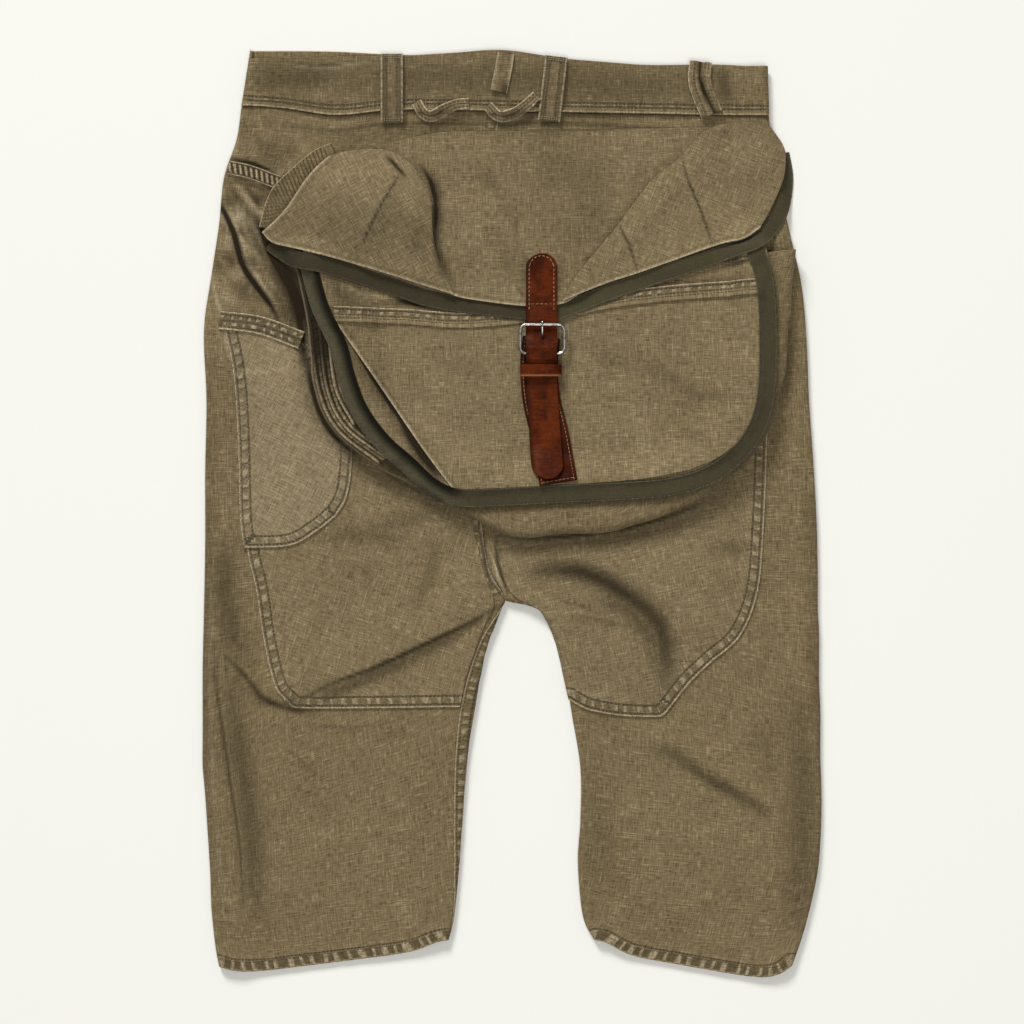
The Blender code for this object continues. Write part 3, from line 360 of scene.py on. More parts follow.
def inset(grid, side, distance, cut=0.0):
    # A line on a grid at a distance inside one edge, shortened at both ends
    if side in ("left", "right"):
        grid = grid.transpose(1, 0, 2)
    if side in ("bottom", "right"):
        grid = grid[::-1]
    run = runLengths(grid, 0)
    line = np.array([
        [np.interp(distance, run[:, j], grid[:, j, k]) for k in range(3)] for j in range(grid.shape[1])
    ])
    length = runOf(line)
    marks = np.linspace(cut, length[-1] - cut, max(3, int((length[-1] - 2 * cut) / 1.5)))
    return placesOn(line, length, marks)


# The heap: a map of the highest cloth so far over each place, which later pieces drape on
heapLook = {
    "cell": 1.25, "corner": (-270.0, -395.0), "cells": (640, 432), "fineStep": 0.8, "margin": 16, "air": 0.12,
}


class Heap:
    def __init__(self):
        self.field = np.zeros(heapLook["cells"])

    def place(self, x, y):
        lowX, lowY = heapLook["corner"]
        return (y - lowY) / heapLook["cell"], (x - lowX) / heapLook["cell"]

    def pile(self, grid, wall):
        # The piece's upper side becomes part of the heap
        for axis in (0, 1):
            gap = np.linalg.norm(np.diff(grid, axis=axis), axis=2).max()
            times = max(1, math.ceil(gap / heapLook["fineStep"]))
            marks = np.linspace(0, grid.shape[axis] - 1, (grid.shape[axis] - 1) * times + 1)
            low = np.minimum(marks.astype(int), grid.shape[axis] - 2)
            part = (marks - low)[:, None, None] if axis == 0 else (marks - low)[None, :, None]
            grid = np.take(grid, low, axis) * (1 - part) + np.take(grid, low + 1, axis) * part
        iy, ix = self.place(grid[..., 0], grid[..., 1])
        iy = np.clip(np.rint(iy).astype(int), 0, self.field.shape[0] - 1)
        ix = np.clip(np.rint(ix).astype(int), 0, self.field.shape[1] - 1)
        np.maximum.at(self.field, (iy, ix), grid[..., 2] + wall * 0.5)

    def drape(self, x, y, wall, soften=6, reach=1, loft=None):
        # Middle of a sheet laid on the heap, which bridges hollows softly
        px, py = self.place(x, y)
        margin = heapLook["margin"]
        r0, r1 = max(int(px.min()) - margin, 0), min(int(px.max()) + margin, self.field.shape[0])
        c0, c1 = max(int(py.min()) - margin, 0), min(int(py.max()) + margin, self.field.shape[1])
        ground = self.field[r0:r1, c0:c1]
        rows, columns = ground.shape
        wide = np.pad(ground, reach, mode="edge")
        for i in range(2 * reach + 1):
            for j in range(2 * reach + 1):
                if math.hypot(i - reach, j - reach) < reach + 0.6:
                    ground = np.maximum(ground, wide[i : i + rows, j : j + columns])
        field = ground
        for turn in range(soften):
            wide = np.pad(field, 1, mode="edge")
            mean = (wide[:-2, 1:-1] + wide[2:, 1:-1] + wide[1:-1, :-2] + wide[1:-1, 2:]
                    + wide[:-2, :-2] + wide[2:, 2:] + wide[:-2, 2:] + wide[2:, :-2]) / 8
            field = np.maximum(ground, mean)
        z = self.sample(field, px - r0, py - c0) + wall / 2 + heapLook["air"]
        return z if loft is None else np.maximum(z, loft)

    def sample(self, field, row, column):
        i = np.clip(np.floor(row).astype(int), 0, field.shape[0] - 2)
        j = np.clip(np.floor(column).astype(int), 0, field.shape[1] - 2)
        a, b = np.clip(row - i, 0, 1), np.clip(column - j, 0, 1)
        top = field[i, j] * (1 - b) + field[i, j + 1] * b
        low = field[i + 1, j] * (1 - b) + field[i + 1, j + 1] * b
        return top * (1 - a) + low * a


heap = Heap()


def spread(rows, times):
    # A level that changes slowly from row to row
    for turn in range(times):
        wide = np.pad(rows, ((1, 1), (0, 0)), mode="edge")
        rows = np.maximum(rows, (wide[:-2] + wide[2:]) / 2)
    return rows


# Node groups and materials
class Value:
    # A shader value that can be reckoned with
    def __init__(self, nodes, socket):
        self.nodes, self.socket = nodes, socket

    def __add__(self, other):
        return self.nodes.math("ADD", self, other)

    def __sub__(self, other):
        return self.nodes.math("SUBTRACT", self, other)

    def __rsub__(self, other):
        return self.nodes.math("SUBTRACT", other, self)

    def __mul__(self, other):
        return self.nodes.math("MULTIPLY", self, other)

    def __truediv__(self, other):
        return self.nodes.math("DIVIDE", self, other)

    def most(self, other):
        return self.nodes.math("MAXIMUM", self, other)

    def remap(self, low, high, start=0.0, stop=1.0):
        plugs = {"Value": self, "From Min": low, "From Max": high, "To Min": start, "To Max": stop}
        return self.nodes.get("ShaderNodeMapRange", "Result", plugs, interpolation_type="SMOOTHSTEP")


class Nodes:
    # Short ways to add nodes to one tree
    def __init__(self, tree):
        self.tree, self.column = tree, 0

    def add(self, kind, plugs={}, **settings):
        node = self.tree.nodes.new(kind)
        node.location = (self.column * 40, (self.column % 7) * -160)
        self.column += 1
        for key, value in settings.items():
            setattr(node, key, value)
        for label, value in plugs.items():
            self.plug(node.inputs[label], value)
        return node

    def get(self, kind, output=0, plugs={}, **settings):
        return Value(self, self.add(kind, plugs, **settings).outputs[output])

    def plug(self, socket, value):
        if isinstance(value, Value):
            self.tree.links.new(value.socket, socket)
        else:
            socket.default_value = value

    def math(self, operation, first, second=0.0):
        return self.get("ShaderNodeMath", 0, {0: first, 1: second}, operation=operation)

    def mix(self, factor, first, second):
        plugs = {"Factor": factor, "A": first, "B": second}
        return self.get("ShaderNodeMix", "Result", plugs, data_type="RGBA", blend_type="MIX")

    def noise(self, vector, scale, detail=2.0, stretch=None, rough=0.5):
        if stretch:
            vector = self.get("ShaderNodeMapping", 0, {"Vector": vector, "Scale": (*stretch, 1)})
        plugs = {"Vector": vector, "Scale": scale, "Detail": detail, "Roughness": rough}
        return self.get("ShaderNodeTexNoise", 0, plugs, noise_dimensions="2D" if stretch else "3D")

    def attribute(self, name):
        return self.get("ShaderNodeAttribute", "Fac", attribute_name=name)

    def place(self):
        return self.get("ShaderNodeTexCoord", "Object")

    def cloth(self):
        return self.get("ShaderNodeUVMap", 0, uv_map="grain")

    def bump(self, height, depth, **more):
        return self.get("ShaderNodeBump", 0, {"Height": height, "Strength": 1.0, "Distance": depth, **more})


def newGroup(name, inputs, outputs):
    # A node group whose inputs are given with their values, or None for a vector
    group = bpy.data.node_groups.new(name, "ShaderNodeTree")
    for label, value in inputs.items():
        kind = "NodeSocketVector" if value is None else "NodeSocketFloat"
        socket = group.interface.new_socket(label, in_out="INPUT", socket_type=kind)
        if value is not None:
            socket.default_value = value
    for label in outputs:
        group.interface.new_socket(label, in_out="OUTPUT", socket_type="NodeSocketFloat")
    n = Nodes(group)
    start, end = n.add("NodeGroupInput"), n.add("NodeGroupOutput")
    return n, {label: Value(n, start.outputs[label]) for label in inputs}, end


def weaveGroup():
    # Slubby plain weave: long uneven yarns both ways, in metres of cloth
    n, given, end = newGroup("weave", {"Cloth": None, "Yarn": 1.0}, ("Height", "Tone"))
    scale = {0: given["Cloth"], "Scale": given["Yarn"]}
    cloth = n.get("ShaderNodeVectorMath", 0, scale, operation="SCALE")
    warp, weft = n.noise(cloth, 1.0, 1.0, (820, 42)), n.noise(cloth, 1.0, 1.0, (42, 820))
    warpFine, weftFine = n.noise(cloth, 1.0, 0.0, (1250, 170)), n.noise(cloth, 1.0, 0.0, (170, 1250))
    slubs = warp.remap(0.62, 0.82).most(weft.remap(0.62, 0.82))
    fine, base = (warpFine + weftFine) * 0.5, (warp + weft) * 0.5
    n.plug(end.inputs["Height"], fine * 0.6 + base * 0.6 + slubs * 0.25)
    n.plug(end.inputs["Tone"], base * 1.1 + fine * 1.5 + slubs * 0.2 - 0.82)


def seamGroup():
    # Wear and painted light beside a sewn edge: a pale worn ridge, dark rows where the thread pulls in, and
    # swells between painted pale as highlight with painted shade in the hollows
    defaults = {"Edge": 99.0, "Along": 0.0, "Single": 0.0, "First": 2.4, "Second": 9.0, "Period": 11.0}
    n, given, end = newGroup("seamWear", {**defaults, "Hollow": 0.34}, ("Light", "Dark", "Height"))
    edge, along, single, first, second, period, dip = given.values()
    place = n.get("ShaderNodeCombineXYZ", 0, {0: along, 1: edge})
    drift = (n.noise(place, 1.0, 0.0, (0.07, 0.02)) - 0.5) * 9.0
    turn = (along + drift) / period * (2 * math.pi)
    wave = n.math("SINE", turn + edge * 0.12) * 0.5 + 0.5
    uneven = n.noise(place, 1.0, 2.0, (0.30, 0.22))
    swell = wave.remap(0.35, 0.95) * uneven.remap(0.25, 0.6, 0.5, 1.0)
    double = 1.0 - single
    low = first * double
    inside = edge.remap(low * 0.7, low + 1.4) * edge.remap(second + 0.2, second - 2.2)
    beyond = edge.remap(second, second + 1.5) * edge.remap(second + 9.0, second + 1.5)
    ridge = edge.remap(1.5, 0.5) * uneven.remap(0.3, 0.62, 0.35, 1.0)
    firstRow = n.math("ABSOLUTE", edge - first).remap(0.95, 0.25) * double
    rows = firstRow.most(n.math("ABSOLUTE", edge - second).remap(1.05, 0.25))
    rows = rows * uneven.remap(0.2, 0.55, 0.55, 1.0)
    rows = rows * (n.math("SINE", along * (2 * math.pi / 3.2)) * 0.26 + 0.74)
    light = ridge.most(inside * (swell * (single * 0.2 + 0.50))).most(beyond * (swell * 0.12))
    hollow = inside * ((1.0 - swell) * (dip + single * 0.4))
    n.plug(end.inputs["Light"], light)
    n.plug(end.inputs["Dark"], rows.most(hollow))
    n.plug(end.inputs["Height"], inside * swell + ridge * 0.7 - rows * 0.7)


def newMaterial(name, constants):
    material = bpy.data.materials.new(name)
    material.use_nodes = True
    shader = material.node_tree.nodes["Principled BSDF"]
    for label, value in constants.items():
        shader.inputs[label].default_value = value
    return material, Nodes(material.node_tree), shader.inputs


clothLook = {
    "weaveDepth": 0.00030,       # metres of yarn relief
    "seamDepth": 0.0009,         # metres of pucker relief
    "sheen": 0.05,
    "roughness": 0.93,
    "yarn": 1.0,                 # how fine the weave is
    "sheenRoughness": 0.5,
    "specular": 0.12,
    "toneContrast": 0.95,
    "wearAndHighlightTone": (0.62, 0.51, 0.34),
}
# Millimetres from the edge to both rows of stitches, period of the swells, and how dark the painted shade
# between the swells is
seamRanges = {"first": 2.4, "second": 9.0, "period": 9.6, "hollow": 0.34}


def canvasMaterial(name, tones, wear=0.7, look={}, **ranges):
    dark, mid, light = tones
    look = {**clothLook, **look}
    material, n, inputs = newMaterial(name, {
        "Roughness": look["roughness"], "Sheen Weight": look["sheen"],
        "Sheen Roughness": look["sheenRoughness"], "Specular IOR Level": look["specular"],
    })
    groups = bpy.data.node_groups
    weave = n.add("ShaderNodeGroup", node_tree=groups["weave"])
    n.plug(weave.inputs["Cloth"], n.cloth())
    n.plug(weave.inputs["Yarn"], look["yarn"])
    yarnTone, yarnHeight = Value(n, weave.outputs["Tone"]), Value(n, weave.outputs["Height"])
    seam = n.add("ShaderNodeGroup", node_tree=groups["seamWear"])
    fields = {key: n.attribute(key) for key in ("edge", "along", "single")}
    for key, value in {**seamRanges, **ranges, **fields}.items():
        n.plug(seam.inputs[key.title()], value)
    pale, deep, swell = (Value(n, seam.outputs[label]) for label in ("Light", "Dark", "Height"))
    patchy = n.noise(n.place(), 11.0, 3.0) * 0.6 + n.noise(n.place(), 60.0, 3.0) * 0.4
    level = patchy.remap(0.25, 0.75, 0.40, 0.62) + (yarnTone - 0.5) * look["toneContrast"]
    under = n.mix(level.remap(-0.1, 0.55), (*dark, 1), (*mid, 1))
    colour = n.mix(level.remap(0.5, 1.15), under, (*light, 1))
    # Pale worn edges and painted highlight on swells and lit crests, mixed towards a pale tone
    wornAndLit = (pale * wear).most(n.attribute("wear")) * yarnTone.remap(0.1, 0.9, 0.45, 1.0)
    colour = n.mix(wornAndLit, colour, (*look["wearAndHighlightTone"], 1))
    # Painted shade: the dark seam rows, the hollows between the swells, and the painted shade strokes
    shade = (deep * 0.62).most(n.attribute("shade"))
    colour = n.mix(shade, colour, (dark[0] * 0.2, dark[1] * 0.19, dark[2] * 0.17, 1))
    n.plug(inputs["Base Color"], colour)
    near = n.bump(yarnHeight, look["weaveDepth"])
    n.plug(inputs["Normal"], n.bump(swell, look["seamDepth"], Normal=near))
    return material


leatherLook = {
    "light": (0.108, 0.019, 0.002),
    "mid": (0.040, 0.0055, 0.0006),
    "dark": (0.030, 0.008, 0.003),
    "wearAndHighlightTone": (0.50, 0.20, 0.07),
    "roughness": 0.48,
    "specular": 0.045,
    "coat": 0.01,
    "coatRoughness": 0.35,
    "creaseDepth": 0.0006,
}


def leatherMaterial(name, tint=1.0):
    look = leatherLook
    material, n, inputs = newMaterial(name, {
        "Coat Weight": look["coat"], "Coat Roughness": look["coatRoughness"],
        "Specular IOR Level": look["specular"],
    })
    place = n.place()
    fine = n.noise(place, 420.0, 3.0, rough=0.65)
    strip = n.noise(n.cloth(), 1.0, 2.0, (90, 520))
    patchy = n.noise(place, 45.0, 4.0, rough=0.6) * 0.84 + strip * 0.16
    mid, light = ((*(c * tint for c in look[key]), 1) for key in ("mid", "light"))
    dark, wornAndLit = (*look["dark"], 1), (*look["wearAndHighlightTone"], 1)
    colour = n.mix(patchy.remap(0.36, 0.62), mid, light)
    colour = n.mix(fine.remap(0.42, 0.62) * 0.35, colour, dark)
    colour = n.mix(n.attribute("wear"), colour, wornAndLit)
    n.plug(inputs["Base Color"], n.mix(n.attribute("shade"), colour, dark))
    n.plug(inputs["Roughness"], patchy.remap(0.3, 0.7, look["roughness"] + 0.14, look["roughness"] - 0.08))
    n.plug(inputs["Normal"], n.bump(strip * 0.7 + fine * 0.4, look["creaseDepth"]))
    return material


metalLook = {
    "bright": (0.50, 0.49, 0.46, 1), "tarnished": (0.20, 0.185, 0.16, 1),
    "roughness": (0.24, 0.5), "relief": 0.0001,
}
threadLook = {"roughness": 0.8, "sheen": 0.2}


def metalMaterial(name):
    look = metalLook
    material, n, inputs = newMaterial(name, {"Metallic": 1.0})
    tarnish = n.noise(n.place(), 260.0, 4.0, rough=0.6)
    n.plug(inputs["Base Color"], n.mix(tarnish.remap(0.4, 0.65), look["bright"], look["tarnished"]))
    n.plug(inputs["Roughness"], tarnish.remap(0.35, 0.7, *look["roughness"]))
    n.plug(inputs["Normal"], n.bump(tarnish, look["relief"]))
    return material


def threadMaterial(name, colour):
    constants = {"Roughness": threadLook["roughness"], "Sheen Weight": threadLook["sheen"]}
    material, n, inputs = newMaterial(name, constants)
    dim = tuple(c * 0.5 for c in colour)
    tone = n.noise(n.place(), 160.0, 3.0).remap(0.35, 0.65)
    n.plug(inputs["Base Color"], n.mix(tone, (*dim, 1), (*colour, 1)))
    return material


weaveGroup()
seamGroup()
canvasTones = ((0.088, 0.064, 0.030), (0.178, 0.132, 0.067), (0.305, 0.238, 0.132))
overlayTones = ((0.096, 0.070, 0.034), (0.190, 0.142, 0.074), (0.325, 0.256, 0.145))
tapeTones = ((0.034, 0.028, 0.014), (0.056, 0.047, 0.024), (0.092, 0.080, 0.045))
tapeLook = {"yarn": 1.3, "wearAndHighlightTone": (0.20, 0.185, 0.13), "toneContrast": 0.5}
# Each material with the slot that it fills
materials = {
    "canvas": (canvasMaterial("canvasBody", canvasTones), "canvas"),
    "overlay": (canvasMaterial("canvasOverlay", overlayTones), "canvas_light"),
    "hem": (canvasMaterial("canvasHem", overlayTones, 1.0, second=7.0, period=7.6, hollow=0.8), "canvas"),
    "pocketHem": (
        canvasMaterial("canvasPocketHem", overlayTones, 0.9, second=7.0, period=9.8, hollow=0.4), "canvas"),
    "band": (canvasMaterial("canvasBand", canvasTones, 0.6, first=4.4, second=7.4, hollow=0.2), "canvas"),
    "trim": (canvasMaterial("canvasTrim", overlayTones, 0.9, first=99.0, second=4.4), "canvas_light"),
    "binding": (canvasMaterial("bindingTape", tapeTones, 0.3, tapeLook, first=99.0, second=99.0), "binding"),
    "leather": (leatherMaterial("leatherTan"), "leather"),
    "leatherDark": (leatherMaterial("leatherDark", 0.5), "leather_dark"),
    "nickel": (metalMaterial("nickelWire"), "nickel"),
    "thread": (threadMaterial("oliveThread", (0.115, 0.088, 0.048)), "canvas_light"),
    "creamThread": (threadMaterial("creamThread", (0.42, 0.22, 0.10)), "leather"),
    "paleThread": (threadMaterial("paleThread", (0.40, 0.33, 0.21)), "canvas_light"),
    "tapeThread": (threadMaterial("tapeThread", (0.034, 0.029, 0.016)), "binding"),
}
print("stage: materials made")


# Meshes
def rawMesh(name, points, faces, material, fields={}, cloth=None):
    # A mesh with its attributes and material, which rides the root body
    mesh = bpy.data.meshes.new(name)
    points = (np.asarray(points).reshape(-1, 3) + centreShift) * mm
    mesh.from_pydata(points.tolist(), [], faces)
    mesh.materials.append(materials[material][0])
    mesh.shade_smooth()
    for key, values in fields.items():
        layer = mesh.attributes.new(key, "FLOAT", "POINT")
        layer.data.foreach_set("value", np.asarray(values, np.float32).ravel())
    if cloth is not None:
        layer = mesh.uv_layers.new(name="grain")
        index = np.empty(len(mesh.loops), np.int32)
        mesh.loops.foreach_get("vertex_index", index)
        layer.data.foreach_set("uv", (cloth.reshape(-1, 2)[index] * mm).astype(np.float32).ravel())
    piece = bpy.data.objects.new(name, mesh)
    bpy.context.scene.collection.objects.link(piece)
    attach(piece, "root")
    return piece


def standIn(piece):
    # The piece replaces the solid of its own name: beltLoopLeft replaces belt_loop_left
    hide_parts(re.sub("([A-Z0-9])", r"_\1", piece.name).lower())


def gridFaces(rows, columns):
    index = np.arange(rows * columns).reshape(rows, columns)
    corners = [index[:-1, :-1], index[1:, :-1], index[1:, 1:], index[:-1, 1:]]
    return np.dstack(corners).reshape(-1, 4).tolist()


# What each sheet lies on; those not named lie on the table
restsOn = {
    "backLeft": "frontLeft", "backRight": "frontRight", "seatPatchLeft": "backLeft",
    "seatPatchRight": "backRight", "hipPocket": "backLeft seatPatchLeft", "hipPocketHem": "hipPocket",
    "sideYoke": "backLeft", "waistbandBack": "waistbandFrontLeft waistbandFrontRight",
    **dict.fromkeys(("beltLoopLeft", "beltLoopCenter", "beltLoopRight"), "waistbandBack"),
    **dict.fromkeys(("hangerStrip", "tieTabLeft", "tieTabRight"), "waistbandBack"),
    "bagGusset": "backLeft backRight hipPocket", "gussetPleat": "bagGusset", "bagFront": "bagGusset",
    "bagFrontHem": "bagFront", "bagPocket": "bagFront", "bagPocketHem": "bagPocket",
    "bagBinding": "bagFront bagPocket", "flapBindingLeft": "bagFront bagBinding",
    "flapBindingRight": "bagFront bagBinding", "flapMiddle": "backLeft backRight bagFront",
    "flapEdgeStrip": "backLeft flapMiddle", "flapWingLeft": "flapMiddle flapBindingLeft",
    "flapWingRight": "flapMiddle flapBindingRight",
}


# Strength of the pale turn of a folded edge, painted as wear and highlight, and of the painted shade line
# beside it, its distance and half width
foldedLook = {"wear": 0.65, "turn": 1.3, "shade": 0.28, "gap": 3.4, "half": 1.2}


def makeSheet(name, grid, wall, material, sides=(), grain=0.0, cloth=None, shade=0.0, wear=0.0, single=0.0,
              folded=(), fields=None):
    # One cut piece with its wall, which joins the heap
    faces = gridFaces(*grid.shape[:2])
    a, b = grid[1:, :-1] - grid[:-1, :-1], grid[:-1, 1:] - grid[:-1, :-1]
    cells = np.cross(a, b)
    if cells[..., 2].sum() < 0:
        faces = [face[::-1] for face in faces]
    edge, along = fields or edgeFields(grid, sides)
    for side in folded:
        gap, look = lineFields(grid, sideLine(grid, side))[0], foldedLook
        wear = np.maximum(wear, look["wear"] * bell(gap, 0, look["turn"]))
        shade = np.maximum(shade, look["shade"] * bell(gap, look["gap"], look["half"]))
    fields = {"edge": edge, "along": along, "shade": shade, "wear": wear, "single": single}
    fields = {key: np.broadcast_to(values, grid.shape[:2]) for key, values in fields.items()}
    if cloth is None:
        turn = math.radians(grain)
        cloth = np.stack([grid[..., 0] * math.cos(turn) - grid[..., 1] * math.sin(turn),
                          grid[..., 0] * math.sin(turn) + grid[..., 1] * math.cos(turn)], axis=2)
    piece = rawMesh(name, grid, faces, material, fields, cloth)
    solid = piece.modifiers.new("wall", "SOLIDIFY")
    solid.thickness = wall * mm
    solid.offset = 0.0
    standIn(piece)
    if not material.startswith("leather"):
        restsOn.get(name.rstrip("123"), "").split()
    heap.pile(grid, wall)


stitchLook = {"length": 2.5, "pitch": 3.2, "width": 0.55, "sink": 0.15}
spindleLook = {"sides": 5, "rings": ((0.0, 0.3), (0.22, 0.95), (0.78, 0.95), (1.0, 0.3)), "arch": 0.25}
bartackLook = {"length": 1.2, "pitch": 1.9, "width": 0.7}
saddleLook = {"length": 2.4, "width": 0.7}
seams = {"thread": [], "creamThread": [], "paleThread": [], "tapeThread": []}


def sewLine(line, wall, kind="thread", **changes):
    # Stitches laid along a line on a piece whose wall's middle the line follows
    look = {**stitchLook, **changes}
    line = np.asarray(line, float)
    run, radius = runOf(line), look["width"] / 2
    count = int(run[-1] / look["pitch"])
    if count < 1:
        return
    marks = (np.arange(count) + 0.5) * run[-1] / count
    lift = (0, 0, wall / 2 + radius - look["sink"])
    ends = [placesOn(line, run, marks + look["length"] / 2 * way) + lift for way in (-1, 1)]
    seams[kind] += [(a, b, radius) for a, b in zip(*ends)]


def sewDart(points, wall):
    # The stitched line of a dart on the uppermost cloth
    sewLine(onHeap(curveAt(points, np.linspace(0, 1, 24)), wall), wall)


def makeStitches(name, kind):
    # All stitches of one thread as one mesh of short spindles
    sides, rings = spindleLook["sides"], spindleLook["rings"]
    turns = np.arange(sides) * 2 * math.pi / sides
    index = np.arange(len(rings) * sides).reshape(-1, sides)
    beside = np.roll(index, -1, axis=1)
    skin = np.dstack([index[:-1], beside[:-1], beside[1:], index[1:]]).reshape(-1, 4).tolist()
    skin += [index[0, ::-1].tolist(), index[-1].tolist()]
    points, faces = [], []
    for a, b, radius in seams[kind]:
        way = (b - a) / max(np.linalg.norm(b - a), 1e-6)
        flat = np.cross(way, (0, 0, 1.0))
        flat = flat / max(np.linalg.norm(flat), 1e-6)
        up = np.cross(flat, way)
        faces += [[len(points) + at for at in face] for face in skin]
        for part, size in rings:
            middle = a + (b - a) * part + up * radius * spindleLook["arch"] * (1 - (2 * part - 1) ** 2)
            points += [middle + (flat * math.cos(t) + up * math.sin(t)) * radius * size for t in turns]
    rawMesh(name, points, faces, kind)


def makeWire(name, line, radius, closed=False, sides=12):
    # A round wire along a line
    line, count = np.asarray(line, float), len(line)
    ahead = np.roll(line, -1, axis=0) - np.roll(line, 1, axis=0)
    if not closed:
        ahead[0], ahead[-1] = line[1] - line[0], line[-1] - line[-2]
    ahead = unit(ahead)
    side = np.cross(ahead, (0, 0, 1.0))
    side /= np.maximum(np.linalg.norm(side, axis=1), 1e-6)[:, None]
    up = np.cross(side, ahead)
    turn = (np.arange(sides) * 2 * math.pi / sides)[None, :, None]
    points = line[:, None] + (side[:, None] * np.cos(turn) + up[:, None] * np.sin(turn)) * radius
    index = np.arange(count * sides).reshape(-1, sides)
    after, beside = np.roll(index, -1, axis=0), np.roll(index, -1, axis=1)
    faces = np.dstack([index, after, np.roll(after, -1, axis=1), beside])
    faces = faces[: count if closed else count - 1].reshape(-1, 4).tolist()
    if not closed:
        faces += [index[0].tolist(), index[-1, ::-1].tolist()]
    standIn(rawMesh(name, points, faces, "nickel"))


def layPiece(name, flat, wall, material, soften=6, reach=1, loft=None, sides=(), rows=(), pucker=0.3,
             period=9.6, wrinkle=0.0, folds=(), extra=0.0, strokes=(), shade=0.0, **more):
    # A flat piece laid on the heap, with puckers beside its sewn edges and rows of stitches
    x, y = flat[..., 0], flat[..., 1]
    z = heap.drape(x, y, wall, soften, reach, loft)
    edge, along = edgeFields(np.dstack([flat, z]), sides)
    if wrinkle:
        wave = softNoise(x, y, 30, 11) + 0.6 * softNoise(x, y, 13, 12) + 0.3 * softNoise(x + y, x - y, 7, 13)
        z = z + wrinkle * (wave + 1.0)
    if pucker and sides:
        z = z + pucker * puckers(edge, along, period, max(rows) if rows else 6.0)
    grid = np.dstack([flat, z + (extra + foldSum(flat, folds))])
    makeSheet(name, grid, wall, material, sides, shade=shade + strokeSum(flat, strokes), **more)
    for side in sides:
        for distance in rows:
            for line in seamRows(grid, side, distance, sides, wall):
                sewLine(line, wall)
    return grid


# Body panels
bodyLook = {
    "wall": 1.4, "foldRadius": 3.3, "layerAir": 0.7, "turnReach": 16.0, "foldReach": 24.0,
    "rowStep": 2.3, "columnStep": 2.2, "frontStep": 9.0, "seamAir": 0.08, "outseam": -0.5,
    "sagLeft": (9.0, 0.25), "sagRight": (17.0, 0.5), "waistDip": (-140, 34, 6.0),
    "wrinkles": 0.32, "puckers": 0.45, "seamBand": 0.5, "hemTurn": 14, "seamRows": (2.4, 9.0), "hemRow": 8.0,
    "hip": (-208, 34, 226, 62), "crumples": 0.8,      # middle and half width of the crumples along x and y
    "inseamBand": 36.0,          # finely cut part of the left front, which turns to this side
    "inseamSewn": (6.2, -84),    # its stitches show above this height and below this y
    "seatSewn": (30, -68),       # the seat seam's stitches show between these two y
    "triangle": (134, -118, 142, -118.5, 149, -118), "triangleSide": (134, -118, 138, -126, 142, -133),
}
midRadius = bodyLook["foldRadius"] - bodyLook["wall"] / 2
arcLength = midRadius * math.pi / 2


def waistDip(x, y):
    place, half, depth = bodyLook["waistDip"]
    return -depth * bell(x, place, half) * ramp(y, 270, 55)


def turnedUp(grid):
    # 1 on the upper side and 0 where the cloth turns under
    return ramp(grid[..., 2], 3.0, 1.5)


